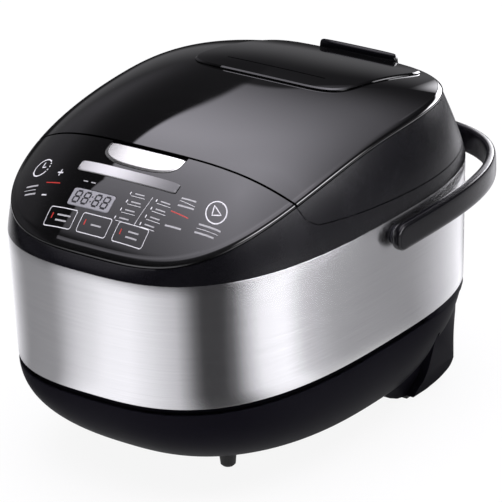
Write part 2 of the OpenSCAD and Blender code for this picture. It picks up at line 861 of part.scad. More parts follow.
module control_board() color(board_green) {
    on_board() {
        box(-panel_board_half_w, panel_board_half_w, -panel_board_d / 2, panel_board_d / 2 + 2, 0, 1.6);
        box(10, 30, -8, 8, -3, tiny);
        box(-48, -34, -10, 0, -5, tiny);
    }
}

// ---- open button and latch ----

button_sink = 5;      // depth of the button under the gloss top
button_proud = 1.1;   // height of the button over the gloss top
tongue_half_w = 6;

module open_button() color(steel) {
    pad(button_plan, -button_sink, button_proud, 1, 3);
    box(-tongue_half_w, tongue_half_w, latch_y + 7, latch_y + 12, latch_z + 11, latch_z + 18.5);
}

spring_x = 24;
spring_y = button_plan[1] - 3;
spring_r = 3;
spring_wire = 1.2;
function spring_top(x) = gloss_z(x, spring_y - spring_r - spring_wire) - button_sink - run;

module button_spring() color(steel) {
    for (x = [-spring_x, spring_x]) translate([x, spring_y, shelf_z + shelf_t])
        coil(spring_r, spring_wire, spring_top(x) - shelf_z - shelf_t);
}

module latch_lever() color(dark_grey) {
    difference() {
        side_lever() union() {
            translate([latch_y, latch_z]) circle(4.5, $fn = small);
            polygon([
                [latch_y - 2, latch_z], [latch_y + 4, latch_z + 1], [latch_y + 12, latch_z + 8],
                [latch_y + 12, latch_z + 10.6], [latch_y + 7, latch_z + 10.6]
            ]);
            polygon([
                [latch_y - 3.6, latch_z], [latch_y + 3.6, latch_z], [latch_y + 4, latch_z - 9],
                [catch_y - 0.4, latch_z - 9], [catch_y - 0.4, latch_z - 11], [catch_y - 2.7, latch_z - 13],
                [latch_y - 1, latch_z - 13]
            ]);
        }
        translate([0, latch_y, latch_z]) rod_x(-far, far, latch_pin_r + run);
    }
}

module side_lever() {
    rotate([90, 0, 90]) linear_extrude(2 * latch_half_w, center = true) children();
}

module latch_pin() color(steel) {
    translate([0, latch_y, latch_z]) rod_x(-latch_half_w - 6, latch_half_w + 6, latch_pin_r);
}

module lid_catch() color(steel) {
    box(-9, 9, catch_y, catch_y + 0.8, catch_z - 11, catch_z);
    box(-9, 9, catch_y, catch_y + 3.8, catch_z - catch_t, catch_z);
}

// ---- lid ----

hinge_y = rear_y - 6;
hinge_z = 198;
hinge_pin_r = 2.5;
knuckle_r = 6.4;
ear_x = 24;
ear_t = 6;
knuckle_t = 8;
knuckle_x = ear_x + ear_t + clear;
notch_half_w = 46;
vent_mid = (vent_front_y + vent_rear_y) / 2;
vent_half_d = (vent_rear_y - vent_front_y) / 2;
vent_plan = [0, vent_mid, vent_half_w, vent_half_d, 7, vent_half_d, 6];
cup_half_w = 44;
cup_r = 13;
cup_y = 50;
cup_z = 236;
tube_r = 12;

module lid_skirt() color(satin) {
    difference() {
        intersection() {
            shoulder_shell();
            lid_space(lid_gap);
        }
        box(-notch_half_w, notch_half_w, hinge_y - 20, far, 0, hinge_z + 9);
    }
}

module lid_cover() color(black) {
    difference() {
        intersection() {
            gloss_shell();
            lid_space(lid_gap);
        }
        translate([0, cup_y, liner_z]) linear_extrude(far) stadium(cup_half_w + clear, cup_r + clear);
    }
}

module lid_liner() color(pale_grey) {
    difference() {
        union() {
            translate([0, 0, liner_z]) linear_extrude(liner_t) polygon(liner_outline(0));
            translate([0, 0, liner_z]) linear_extrude(10) difference() {
                polygon(liner_outline(0));
                polygon(liner_outline(2.4));
            }
            translate([0, pot_y, deck_z + 1.2])
                cylinder(r = pot_rim_r + 3.4, h = liner_z - deck_z - 1, $fn = fine);
        }
        translate([0, pot_y, 0]) cylinder(r = pot_rim_r + 0.8, h = liner_z, $fn = fine);
        translate([0, cup_y, 0]) cylinder(r = tube_r + run, h = far, $fn = fine);
        box(-notch_half_w, notch_half_w, hinge_y - 12, far, 0, far);
        translate([0, pot_y, 0]) cylinder(r = 3, h = far, $fn = small);
    }
    both_sides() difference() {
        union() {
            box(knuckle_x, knuckle_x + knuckle_t, hinge_y - 15, hinge_y, liner_z + 1, hinge_z + 2);
            translate([0, hinge_y, hinge_z]) rod_x(knuckle_x, knuckle_x + knuckle_t, knuckle_r);
        }
        translate([0, hinge_y, hinge_z]) rod_x(0, far, hinge_pin_r + run);
    }
}

gasket_out = pot_rim_r - 3;
gasket_in = gasket_out - 13;

module inner_lid_plate() color(aluminium) {
    translate([0, 0, liner_z - 1.6]) difference() {
        translate([0, pot_y, 0]) cylinder(r = gasket_in - clear, h = 1.2, $fn = fine);
        translate([0, cup_y, -1]) cylinder(r = 17, h = 4, $fn = fine);
        translate([0, pot_y, -1]) cylinder(r = 3.2, h = 4, $fn = small);
    }
}

module lid_gasket() color(silicone) {
    lip_z = deck_z + rim_t + clear;
    translate([0, pot_y, 0]) rotate_extrude($fn = fine) polygon([
        [gasket_in, liner_z - 3], [gasket_in + 3, lip_z], [gasket_out - 2, lip_z],
        [gasket_out, liner_z - 3], [gasket_out, liner_z - 0.1], [gasket_in, liner_z - 0.1]
    ]);
}

module plate_knob() color(silicone) {
    translate([0, pot_y, 0]) {
        translate([0, 0, liner_z - 8]) cylinder(r1 = 6, r2 = 10, h = 6.3, $fn = small);
        translate([0, 0, liner_z - 2]) cylinder(r = 2.9, h = 10, $fn = small);
        translate([0, 0, liner_z + liner_t + 0.1]) cylinder(r = 5, h = 2, $fn = small);
    }
}

module steam_cup() color(dark_grey) {
    difference() {
        union() {
            translate([0, cup_y, cup_z]) linear_extrude(14) stadium(cup_half_w, cup_r);
            translate([0, cup_y, liner_z - 1.8]) cylinder(r = tube_r, h = cup_z - liner_z + 2, $fn = fine);
        }
        translate([0, cup_y, cup_z + 2]) linear_extrude(14) stadium(cup_half_w - 2, cup_r - 2);
        translate([0, cup_y, 0]) cylinder(r = tube_r - 2, h = far, $fn = fine);
    }
}

module steam_seal() color(silicone) {
    translate([0, cup_y, 0]) difference() {
        translate([0, 0, liner_z - 2.2]) cylinder(r = 16.5, h = 2.1, $fn = fine);
        translate([0, 0, liner_z - 3]) cylinder(r = tube_r + run, h = 4, $fn = fine);
    }
}

slot_w = 1.4;
ridge_half_w = 34;
cover_lift = 0.4;     // height of the steam cover's underside over the gloss top

module steam_slot() {
    box(-slot_half_w, slot_half_w, slot_y - slot_w / 2, slot_y + slot_w / 2, liner_z, far);
}

module steam_cover() color(black) {
    difference() {
        union() {
            pad(vent_plan, cover_lift, cover_lift + vent_t, 0.7, 5);
            ridge();
        }
        steam_slot();
    }
    difference() {
        translate([0, cup_y, cup_z + 6]) linear_extrude(gloss_z(40, cup_y) + 1 - cup_z - 6)
            stadium(cup_half_w - 2.4, cup_r - 2.4);
        translate([0, cup_y, cup_z]) linear_extrude(gloss_z(40, cup_y) + 0.2 - cup_z)
            stadium(cup_half_w - 4.4, cup_r - 4.4);
        steam_slot();
    }
}

ridge_y = 143;
ridge_half_d = 8.5;
ridge_h = 7.6;

// Finger ridge across the rear of the cover: a humped side view with rounded ends.
module ridge() {
    base = gloss_z(0, ridge_y);
    intersection() {
        side_prism(concat(
            [for (k = [0 : 6]) let (y = ridge_y - ridge_half_d - 1 + k * 3) [y, gloss_z(0, y) + cover_lift]],
            [for (a = [0 : 20 : 160])
                [ridge_y + ridge_half_d * cos(a), base + ridge_h * pow(sin(a), 0.7)]]
        ));
        linear_extrude(far) polygon(pad_outline(0, ridge_y, ridge_half_w, 10, 4, 10, 4));
        translate([0, far, 0]) rotate([90, 0, 0]) linear_extrude(2 * far) polygon(concat(
            [[-ridge_half_w, 0], [ridge_half_w, 0]],
            [for (a = [0 : 15 : 180])
                [(ridge_half_w - 6) * sign(cos(a)) + 6 * cos(a), base + ridge_h - 6 + 6 * sin(a)]]
        ));
    }
}

// ---- hinge ----

module hinge_bracket() color(steel) {
    box(-ear_x - ear_t, ear_x + ear_t, hinge_y - 10, hinge_y - 0.4, deck_z, deck_z + 2.5);
    both_sides() difference() {
        union() {
            box(ear_x, ear_x + ear_t, hinge_y - 6.4, hinge_y - 0.4, deck_z + 2, hinge_z);
            translate([0, hinge_y, hinge_z]) rod_x(ear_x, ear_x + ear_t, knuckle_r);
        }
        translate([0, hinge_y, hinge_z]) rod_x(0, far, hinge_pin_r);
    }
}

module hinge_pin() color(steel) {
    translate([0, hinge_y, hinge_z])
        rod_x(-knuckle_x - knuckle_t - 1.2, knuckle_x + knuckle_t + 1.2, hinge_pin_r);
}

module hinge_springs() color(steel) {
    both_sides() {
        translate([4, hinge_y, hinge_z]) rotate([0, 90, 0]) coil(3.6, 1.9, 19);
        box(20.9, 22.2, hinge_y - 4.2, hinge_y - 2.9, deck_z + 2.5, hinge_z + 1);
    }
}

// ---- bail handle ----

bail_side_steps = 14;
bail_end = bail_h / 2;

function bail_path(t, inset) = [
    (bail_half_w - inset) * signed_pow(cos(t), 2 / bail_square),
    pivot_y + (bail_reach - inset) * signed_pow(sin(t), 2 / bail_square)
];

bail_angles = concat([for (k = [1 : bail_side_steps]) 90 * pow(k / bail_side_steps, 1.8)],
    [for (k = [1 : bail_side_steps]) 180 - 90 * pow((bail_side_steps - k) / bail_side_steps, 1.8)]);

// Section of the strap at an angle of its path: a rounded rectangle, shrunk to share.
function strap_ring(t, along, share) =
    let (
        p = t <= 0 ? [bail_half_w - bail_t / 2, pivot_y - along]
            : t >= 180 ? [-bail_half_w + bail_t / 2, pivot_y - along] : bail_path(t, bail_t / 2),
        q = t <= 0 || t >= 180 ? p + [0, t <= 0 ? 1 : -1] : bail_path(t + 0.5, bail_t / 2),
        q0 = t <= 0 || t >= 180 ? p : bail_path(t - 0.5, bail_t / 2),
        d = (q - q0) / norm(q - q0),
        out = [d[1], -d[0]]
    )
    [for (i = [0 : 15])
        let (
            a = -360 * i / 16,
            u = bail_t / 2 * signed_pow(cos(a), 0.6) * min(1, share * 1.6),
            v = bail_h / 2 * signed_pow(sin(a), 0.45) * share
        )
        [p[0] + out[0] * u, p[1] + out[1] * u, pivot_z + v]
    ];

end_turns = [80, 62, 44, 26, 8];

module handle() color(black) {
    union() {
        loft([
            for (a = end_turns) strap_ring(0, bail_end * sin(a), cos(a)),
            for (t = bail_angles) if (t < 180) strap_ring(t, 0, 1),
            for (k = [4 : -1 : 0]) strap_ring(180, bail_end * sin(end_turns[k]), cos(end_turns[k]))
        ]);
        translate([0, pivot_y, pivot_z]) both_sides() rod_x(bush_in - 3.1, bail_half_w - bail_t / 2, stub_r);
    }
}

module handle_bushes() color(black) {
    translate([0, pivot_y, pivot_z]) both_sides() difference() {
        union() {
            rod_x(bush_in, body_half_w + 0.2, bush_r);
            rod_x(body_half_w + 0.1, body_half_w + bail_gap - 0.4, bush_r + 1.2);
        }
        rod_x(0, far, stub_r + run);
    }
}

module handle_clips() color(steel) {
    translate([0, pivot_y, pivot_z]) both_sides() difference() {
        rod_x(bush_in - 1.6, bush_in - clear, stub_r + 2.5);
        rod_x(0, far, stub_r + run / 5);
    }
}

base_pan();
base_screws();
front_feet();
rear_foot_pads();
steel_band();
rear_panel();
dew_collector();
power_inlet();
inlet_blades();
power_board();
heat_shield();
heating_plate();
plate_posts();
thermal_sensor();
sensor_spring();
thermal_fuse();
inner_pot();
upper_collar();
control_panel();
badge_strip();
display_window();
display_module();
control_board();
open_button();
button_spring();
latch_lever();
latch_pin();
lid_catch();
lid_skirt();
lid_cover();
lid_liner();
inner_lid_plate();
lid_gasket();
plate_knob();
steam_cup();
steam_seal();
steam_cover();
hinge_bracket();
hinge_pin();
hinge_springs();
handle();
handle_bushes();
handle_clips();
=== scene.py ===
# %% [markdown]
# # A flip-lid electric multi cooker
# The cooker is a tall oval pot housing: a black base on feet, a band of brushed steel, a satin
# black shoulder, and a gloss black arched top that is split into the lid and the control panel.
# A black bail handle swings round the rear. The solid parts come packed as one frame, in metres,
# with Z up and the front towards -Y. This script dresses them: smooth pieces where gloss would
# show the facets of the solids, printed marks on the panel, and a finish for every surface.

# %% Load the frame
import json
from math import copysign, cos, pi, radians, sin, tan
import bmesh
import bpy
import numpy as np
from mathutils import Matrix, Vector

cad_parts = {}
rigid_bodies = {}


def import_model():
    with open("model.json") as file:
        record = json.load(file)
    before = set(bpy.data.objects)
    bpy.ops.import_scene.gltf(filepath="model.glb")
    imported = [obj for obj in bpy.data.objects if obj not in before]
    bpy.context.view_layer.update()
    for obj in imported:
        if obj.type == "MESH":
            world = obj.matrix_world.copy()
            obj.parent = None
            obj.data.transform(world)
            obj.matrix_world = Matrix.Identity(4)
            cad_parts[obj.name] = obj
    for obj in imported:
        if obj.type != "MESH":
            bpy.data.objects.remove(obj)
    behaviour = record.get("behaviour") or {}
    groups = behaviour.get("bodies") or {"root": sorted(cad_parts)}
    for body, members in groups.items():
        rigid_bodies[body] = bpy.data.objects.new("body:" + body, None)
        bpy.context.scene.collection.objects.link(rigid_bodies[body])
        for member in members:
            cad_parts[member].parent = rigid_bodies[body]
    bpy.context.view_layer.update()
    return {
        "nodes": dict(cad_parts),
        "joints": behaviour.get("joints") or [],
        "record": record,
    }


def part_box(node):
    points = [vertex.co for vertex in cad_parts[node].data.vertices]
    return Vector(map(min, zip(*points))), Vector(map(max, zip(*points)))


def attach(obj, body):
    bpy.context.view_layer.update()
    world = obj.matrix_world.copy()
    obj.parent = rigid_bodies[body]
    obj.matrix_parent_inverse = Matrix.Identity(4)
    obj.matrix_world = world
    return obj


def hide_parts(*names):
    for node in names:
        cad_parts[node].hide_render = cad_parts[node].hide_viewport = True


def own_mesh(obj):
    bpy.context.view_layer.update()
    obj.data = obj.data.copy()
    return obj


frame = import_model()
scene = bpy.context.scene
nodes = frame["nodes"]
joints = {joint["name"]: joint for joint in frame["joints"]}

# %% [markdown]
# The shapes are worked out in millimetres, as on a drawing, and turned into metres when a mesh
# is made. Lengths that the solids fix are read from their boxes, so that the smooth pieces stay
# on the solids they stand for. What a box can't give, such as how square a curve is, is a value.

# %% Read lengths from the solids
MM = 0.001


def limits(node):
    """Lowest and highest corner of a solid, in millimetres."""
    return [np.array(corner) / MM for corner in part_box(node)]


band_low, band_high = limits("steel_band")
lid_high = limits("lid_cover")[1]
panel_low = limits("control_panel")[0]
widest_y = 9.0
body_half_w = band_high[0]
body_front = widest_y - band_low[1]
body_rear = 167.0
band_z, band_top = band_low[2], band_high[2]
top_half_w = lid_high[0]
top_front = widest_y - panel_low[1]
top_rear = lid_high[1] - widest_y
print("half width and front of the body:", round(body_half_w, 1), round(body_front, 1))
print("half width, front and rear of the top:", [round(v, 1) for v in (top_half_w, top_front, top_rear)])

# %% [markdown]
# Every plan of this cooker is an oval that is fuller than an ellipse: a superellipse, with one
# squareness for its front half and another for its rear half. A superellipse is a formula, so
# any number of points lies exactly on it. The turns are spaced so that the points are even.

# %% Plan ovals
AROUND = 336
SPACING = 1.45
BODY_SQUARE = (2.9, 2.8)
TOP_SQUARE = (3.4, 2.6)
even = np.arange(AROUND) * 2 * pi / AROUND


def power(value, exponent):
    return np.sign(value) * np.abs(value) ** exponent


turns = np.arctan2(power(np.sin(even), SPACING), power(np.cos(even), SPACING))


def oval(half_w, front, rear, square_front, square_rear):
    """Points round a plan oval, whose two halves meet at the widest line."""
    side, fore = np.cos(turns), np.sin(turns)
    depth = np.where(fore < 0, front, rear)
    square = np.where(fore < 0, square_front, square_rear)
    return half_w * power(side, 2 / square), widest_y + depth * power(fore, 2 / square)


def body_oval(inset):
    return oval(body_half_w - inset, body_front - inset, body_rear - inset, *BODY_SQUARE)


def top_oval(inset):
    return oval(top_half_w - inset, top_front - inset, top_rear - inset, *TOP_SQUARE)


def in_oval(x, y, half_w, front, rear, square_front, square_rear):
    """Whether a place lies inside a plan oval."""
    depth, square = (front, square_front) if y < widest_y else (rear, square_rear)
    return (abs(x) / half_w) ** square + (abs(y - widest_y) / depth) ** square < 1


print("points round each oval:", AROUND)

# %% [markdown]
# The gloss top is one surface for three pieces: its edge follows an arch from front to rear, a
# rolled edge stands on the arch, and a crown swells inside it, flatter towards the rear. Writing
# it as a height over the plan lets the lid, the panel, the vent cover and the printed marks all
# lie on the same surface. Its slope gives exact normals, so reflections run without a ripple.

# %% Height of the gloss top
ARCH_R, ARCH_Y, ARCH_Z = 551.0, 42.4, 234.7
ROLL_H, ROLL_W = 5.7, 3.1
CROWN_H, CROWN_FALL, CROWN_SQUARE = 17.1, 0.095, 4.1


def edge_z(y):
    return ARCH_Z - (y - ARCH_Y) ** 2 / (2 * ARCH_R)


def crown(y, share):
    return (CROWN_H - CROWN_FALL * y) * (1 - share ** CROWN_SQUARE)


def gloss_z(x, y):
    """Height of the gloss top over a place in plan."""
    depth = np.where(y < widest_y, top_front, top_rear) - ROLL_W
    square = np.where(y < widest_y, *TOP_SQUARE)
    out = (np.abs(x) / (top_half_w - ROLL_W)) ** square + (np.abs(y - widest_y) / depth) ** square
    return edge_z(y) + ROLL_H + crown(y, np.minimum(1, out ** (1 / square)))


def gloss_normal(x, y):
    step = 0.05
    slope_x = (gloss_z(x + step, y) - gloss_z(x - step, y)) / (2 * step)
    slope_y = (gloss_z(x, y + step) - gloss_z(x, y - step)) / (2 * step)
    normal = np.stack([-slope_x, -slope_y, np.ones_like(slope_x)], -1)
    return normal / np.linalg.norm(normal, axis=-1, keepdims=True)


print("height over the middle of the lid:", round(float(gloss_z(0.0, 40.0)), 1), "mm")

# %% [markdown]
# A mould maker thinks in sections, and so does a loft: rings of points are stacked and joined
# by strips of faces. These helpers make a mesh from rings, cut one mesh with another, and give
# the finished piece its shading, its finish and the body that it moves with. A cutter that has to
# pass right through reaches as far as FAR.

# %% Mesh helpers
FAR = 400


def ring(x, y, z):
    return np.stack(np.broadcast_arrays(x, y, z), -1).astype(float)


def show(name, mesh):
    piece = bpy.data.objects.new(name, mesh)
    scene.collection.objects.link(piece)
    return piece


def mesh_object(name, points, faces):
    """Object from points in millimetres, with its faces turned outwards."""
    mesh = bpy.data.meshes.new(name)
    mesh.from_pydata((np.asarray(points) * MM).tolist(), [], faces)
    mesh.update()
    work = bmesh.new()
    work.from_mesh(mesh)
    bmesh.ops.recalc_face_normals(work, faces=work.faces)
    work.to_mesh(mesh)
    work.free()
    mesh.update()
    return show(name, mesh)


def loft(name, rings, closed=False):
    """Rings of equal length joined in order. An open loft gets a fan over each end."""
    count, size = len(rings), len(rings[0])
    points = [p for r in rings for p in r]
    faces = []
    for j in range(count if closed else count - 1):
        a, b = j * size, (j + 1) % count * size
        faces += [(a + i, a + (i + 1) % size, b + (i + 1) % size, b + i) for i in range(size)]
    if not closed:
        for end in (0, count - 1):
            points.append(np.mean(rings[end], 0))
            faces += [(len(points) - 1, end * size + i, end * size + (i + 1) % size) for i in range(size)]
    return mesh_object(name, points, faces)


def prism(name, outline, axis, low, high):
    """Straight block with the given outline across an axis, to cut with."""
    order = {"X": (2, 0, 1), "Y": (0, 2, 1), "Z": (0, 1, 2)}[axis]
    points = [np.array([(p[0], p[1], level) for p in outline])[:, order] for level in (low, high)]
    size = len(outline)
    faces = [(i, (i + 1) % size, size + (i + 1) % size, size + i) for i in range(size)]
    faces += [tuple(range(size)), tuple(range(size, 2 * size))]
    return mesh_object(name, np.concatenate(points), faces)


def block(low, high):
    (x1, y1, z1), (x2, y2, z2) = low, high
    return prism("cutter", [(x1, y1), (x2, y1), (x2, y2), (x1, y2)], "Z", z1, z2)


def circle_points(cx, cy, r, start=0, end=360, count=40):
    """Points along an arc. A whole circle doesn't repeat its first point."""
    return [(cx + r * cos(radians(a)), cy + r * sin(radians(a)))
            for a in np.linspace(start, end, count + 1)[:-1 if end - start == 360 else None]]


def join(piece, *others):
    """The others become part of the first piece."""
    work = bmesh.new()
    for one in (piece, *others):
        work.from_mesh(one.data)
    work.to_mesh(piece.data)
    work.free()
    for one in others:
        bpy.data.objects.remove(one)
    return piece


def carve(piece, cutter, how="DIFFERENCE"):
    """Cuts a piece with a closed mesh, which is used up."""
    change = piece.modifiers.new("cut", "BOOLEAN")
    change.operation, change.solver, change.object = how, "EXACT", cutter
    bpy.context.view_layer.update()
    made = bpy.data.meshes.new_from_object(piece.evaluated_get(bpy.context.evaluated_depsgraph_get()))
    piece.modifiers.clear()
    piece.data = made
    bpy.data.objects.remove(cutter)
    return piece


def dress(piece, body, look, stands_for=(), angle=32, surface=None):
    """Finish, shading and body of a piece. surface gives exact normals over the plan."""
    mesh = piece.data
    mesh.materials.clear()
    mesh.materials.append(finish[look])
    mesh.shade_smooth()
    mesh.set_sharp_from_angle(angle=radians(angle))
    if surface:
        use_normals_of(mesh, surface)
    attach(piece, body)
    if stands_for:
        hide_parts(*stands_for)
    print(piece.name, "has", len(mesh.polygons), "faces and rides on", body)
    return piece


def all_of(items, what, width, kind=float):
    """One property of all points, corners or faces of a mesh."""
    flat = np.empty(len(items) * width, kind)
    items.foreach_get(what, flat)
    return flat.reshape(-1, width)


def use_normals_of(mesh, surface):
    """Corners of faces that lie on and along a known surface take its exact normals."""
    same_way, skin = cos(radians(12)), 1.2
    places = all_of(mesh.vertices, "co", 3) / MM
    exact = surface(places[:, 0], places[:, 1])
    corners = all_of(mesh.corner_normals, "vector", 3)
    corner_point = all_of(mesh.loops, "vertex_index", 1, int)[:, 0]
    sizes = all_of(mesh.polygons, "loop_total", 1, int)[:, 0]
    along = np.repeat(all_of(mesh.polygons, "normal", 3), sizes, axis=0)
    facing = (along * exact[corner_point]).sum(1) > same_way
    outside = places[:, 2] > gloss_z(places[:, 0], places[:, 1]) - skin
    use = facing & outside[corner_point]
    corners[use] = exact[corner_point][use]
    mesh.normals_split_custom_set(corners.tolist())


# %% [markdown]
# Shader maths reads better as a sum than as boxes and wires, so one small class wraps a socket
# and lets Python's own signs add the Math nodes. Any other kind of node comes from one method
# that takes its type, its settings and what goes into its sockets.

# %% Shader maths
class Value:
    """A socket of a material, which can be used in sums."""

    def __init__(self, paint, socket):
        self.paint, self.socket = paint, socket

    def maths(self, how, *terms):
        return self.paint.node("Math", {"operation": how}, dict(enumerate(terms)))

    def __add__(self, other):
        return self.maths("ADD", self, other)

    def __sub__(self, other):
        return self.maths("SUBTRACT", self, other)

    def __rsub__(self, other):
        return self.maths("SUBTRACT", other, self)

    def __mul__(self, other):
        return self.maths("MULTIPLY", self, other)

    def __truediv__(self, other):
        return self.maths("DIVIDE", self, other)

    def __pow__(self, other):
        return self.maths("POWER", self, other)

    __radd__, __rmul__ = __add__, __mul__


class Paint:
    """A material under construction."""

    def __init__(self, name, holder=None):
        self.material = holder or bpy.data.materials.new(name)
        self.material.use_nodes = True
        self.tree = self.material.node_tree
        self.tree.nodes.clear()

    def node(self, kind, settings=None, inputs=None, output=0):
        made = self.tree.nodes.new("ShaderNode" + kind)
        for key, value in (settings or {}).items():
            if key == "stops":
                while len(made.color_ramp.elements) < len(value):
                    made.color_ramp.elements.new(0.5)
                for element, (place, level) in zip(made.color_ramp.elements, value):
                    element.position, element.color = place, (level, level, level, 1)
            else:
                setattr(made, key, value)
        for key, value in (inputs or {}).items():
            if isinstance(value, Value):
                self.tree.links.new(value.socket, made.inputs[key])
            else:
                made.inputs[key].default_value = value
        return None if output is None else Value(self, made.outputs[output])

    def place(self):
        return self.node("TexCoord", output="Object")

    def noise(self, scale, detail=3, stretch=(1, 1, 1)):
        """Noise of a number of cycles per metre, squeezed along the axes."""
        where = self.node("VectorMath", {"operation": "MULTIPLY"}, {0: self.place(), 1: stretch})
        return self.node("TexNoise", None, {"Vector": where, "Scale": scale, "Detail": detail})

    def rise(self, value, low, high):
        """Soft step from 0 at low to 1 at high."""
        return self.node("MapRange", {"interpolation_type": "SMOOTHSTEP"},
                         {"Value": value, "From Min": low, "From Max": high})

    def blend(self, share, first, second):
        """Colour between two colours."""
        return self.node("Mix", {"data_type": "RGBA"}, {0: share, 6: first, 7: second}, 2)

    def bump(self, height, strength, distance):
        return self.node("Bump", None, {"Height": height, "Strength": strength, "Distance": distance})

    def axes(self, vector):
        return [self.node("SeparateXYZ", None, {0: vector}, k) for k in range(3)]

    def ray(self, kind):
        return self.node("LightPath", output=f"Is {kind} Ray")

    def glow(self, colour, strength=1.0):
        return self.node("Emission", None, {"Color": colour, "Strength": strength})

    def either(self, share, first, second):
        """Shader between two shaders."""
        return self.node("MixShader", None, {0: share, 1: first, 2: second})

    def close(self, shader, kind="OutputMaterial"):
        self.node(kind, None, {"Surface": shader}, None)
        return self.material

    def surface(self, **sockets):
        """The main shader. Underscores in the names stand for spaces."""
        named = {name.replace("_", " "): value for name, value in sockets.items()}
        return self.close(self.node("BsdfPrincipled", None, named))


def grey(level):
    return (level, level, level, 1)


print("shader helpers are ready")

# %% [markdown]
# The gloss top is injection moulded in a polished mould. Such plastic is nearly black inside
# and mirrors its surroundings at the surface, with a faint waviness and a little handling haze.

# %% Gloss black plastic
def gloss_black():
    paint = Paint("gloss_black")
    haze = paint.noise(60, 4)
    tone = paint.blend(haze, grey(0.0035), grey(0.005))
    waves = paint.bump(paint.noise(9, 1), 0.04, 0.0004)
    return paint.surface(Base_Color=tone, Roughness=0.012 + haze * 0.014, IOR=1.6, Normal=waves)


# %% [markdown]
# The base, the shoulder and the handle are moulded in a fine spark-eroded texture: a soft sheen
# broken up by grain about a third of a millimetre across. The base is the most matt, and the
# handle the least.

# %% Satin black plastics
def satin_black(name, level, rough, grain, depth, shine=0.25):
    """A cold black. grain is in cycles per metre, and depth is the depth of the grain."""
    paint = Paint(name)
    fine = paint.noise(grain, 2)
    patches = paint.noise(35, 3)
    dark, pale = ((level * k, level * k * 0.95, level * k * 1.35, 1) for k in (0.9, 1.12))
    uneven = rough - 0.04 + patches * 0.08 + (fine - 0.5) * 0.06
    return paint.surface(Base_Color=paint.blend(patches, dark, pale), Roughness=uneven,
                         Specular_IOR_Level=shine, Normal=paint.bump(fine, 0.35, depth))


# %% [markdown]
# The band is rolled steel sheet, brushed along its length. Each scratch is a hair wide and
# centimetres long, so the noise is squeezed hard along Z and stretched along X and Y. The
# scratches spread reflections up and down, which the shader's anisotropy does.

# %% Brushed steel
def brushed_band():
    paint = Paint("brushed_band")
    lines = paint.noise(1, 2, (14, 14, 5200))
    broad = paint.noise(1, 3, (5, 5, 700))
    tone = paint.blend(lines, (0.50, 0.50, 0.505, 1), (0.66, 0.66, 0.665, 1))
    uneven = 0.22 + (lines - 0.5) * 0.08 + (broad - 0.5) * 0.05
    return paint.surface(Base_Color=tone, Metallic=1.0, Roughness=uneven, Anisotropic=0.95,
                         Anisotropic_Rotation=0.25, Normal=paint.bump(lines, 0.10, 0.00004))


# %% [markdown]
# What is left is plain metal, plain plastic, rubber or ink, each with a little unevenness so that
# it never looks computed, and one satin foil: the bare strip, whose colour carries a painted
# reflection, bright at its left end and darkening to the right.

# %% Plain metals and plastics
def shades(colour, low=0.93, high=1.05):
    """A darker and a paler shade of a colour."""
    return [tuple(min(1, part * share) for part in colour) + (1,) for share in (low, high)]


def plain_metal(name, level, rough, tint=(1, 1, 1)):
    paint = Paint(name)
    wear = paint.noise(400, 4)
    tone = paint.blend(wear, *shades([level * part for part in tint]))
    return paint.surface(Base_Color=tone, Metallic=1.0, Roughness=rough + (wear - 0.5) * 0.08,
                         Normal=paint.bump(wear, 0.05, 0.00003))


def plain_plastic(name, colour, rough, grain=900):
    paint = Paint(name)
    fine = paint.noise(grain, 3)
    return paint.surface(Base_Color=paint.blend(fine, *shades(colour)), Roughness=rough + (fine - 0.5) * 0.1,
                         Normal=paint.bump(fine, 0.1, 0.00005))


def strip_with_painted_reflection():
    """Satin foil with a painted reflection: pale at its left end, darkening to the right."""
    paint = Paint("silver_strip")
    x = paint.axes(paint.place())[0]
    grain = paint.noise(1, 2, (60, 3000, 3000))
    # Painted reflection: the base colour runs from pale at the left end to dark at the right, in place of
    # the light that the foil mirrors.
    level = paint.rise(x + (grain - 0.5) * 0.004, -0.03, 0.045)
    tone = paint.blend(level, (0.78, 0.78, 0.77, 1), (0.12, 0.12, 0.12, 1))
    return paint.surface(Base_Color=tone, Metallic=1.0, Roughness=0.30 + grain * 0.06)


# %% Make the finishes
SATIN = {"base_plastic": (0.008, 0.46, 2600, 0.00006, 0.01),
         "satin_plastic": (0.005, 0.27, 2600, 0.00005),
         "handle_plastic": (0.004, 0.20, 3000, 0.00003),
         "black_plastic": (0.014, 0.42, 1800, 0.00006)}
METAL = {"chrome_button": (0.70, 0.19, (1, 1, 0.96)),
         "screw_steel": (0.55, 0.34),
         "heater_aluminium": (0.74, 0.38)}
PLAIN = {"pot_coating": ((0.045, 0.045, 0.048), 0.38, 1400),
         "pale_plastic": ((0.60, 0.60, 0.58), 0.42),
         "display_plastic": ((0.36, 0.36, 0.375), 0.25, 500),
         "foot_rubber": ((0.020, 0.020, 0.021), 0.72, 1500),
         "silicone": ((0.72, 0.72, 0.69), 0.50, 700),
         "board": ((0.02, 0.16, 0.07), 0.45, 1200),
         "white_ink": ((0.88, 0.88, 0.88), 0.40, 2000),
         "grey_ink": ((0.50, 0.50, 0.50), 0.45, 2000),
         "red_ink": ((0.62, 0.03, 0.02), 0.40, 2000),
         "dark_ink": ((0.006, 0.006, 0.008), 0.60, 2000)}
finish = {"gloss_black": gloss_black(), "brushed_band": brushed_band(), "silver_strip": strip_with_painted_reflection()}
for make, table in ((satin_black, SATIN), (plain_metal, METAL), (plain_plastic, PLAIN)):
    finish.update({name: make(name, *numbers) for name, numbers in table.items()})
slot_of = {part["node"]: part["material_slot"] for part in frame["record"]["subparts"]}
for name, solid in nodes.items():
    wanted = finish[slot_of[name]]
    for place in solid.material_slots:
        place.material = wanted
print("finishes:", len(finish), "nodes with a slot:", len(slot_of))

# %% [markdown]
# The gloss shell is lofted from its middle out along the underside, round the rolled edge, and
# back over the crown. One plane that leans back from the panel cuts it in two, with a gap
# for the lid to open. The roll is a curve between the crown's slope and an upright edge.

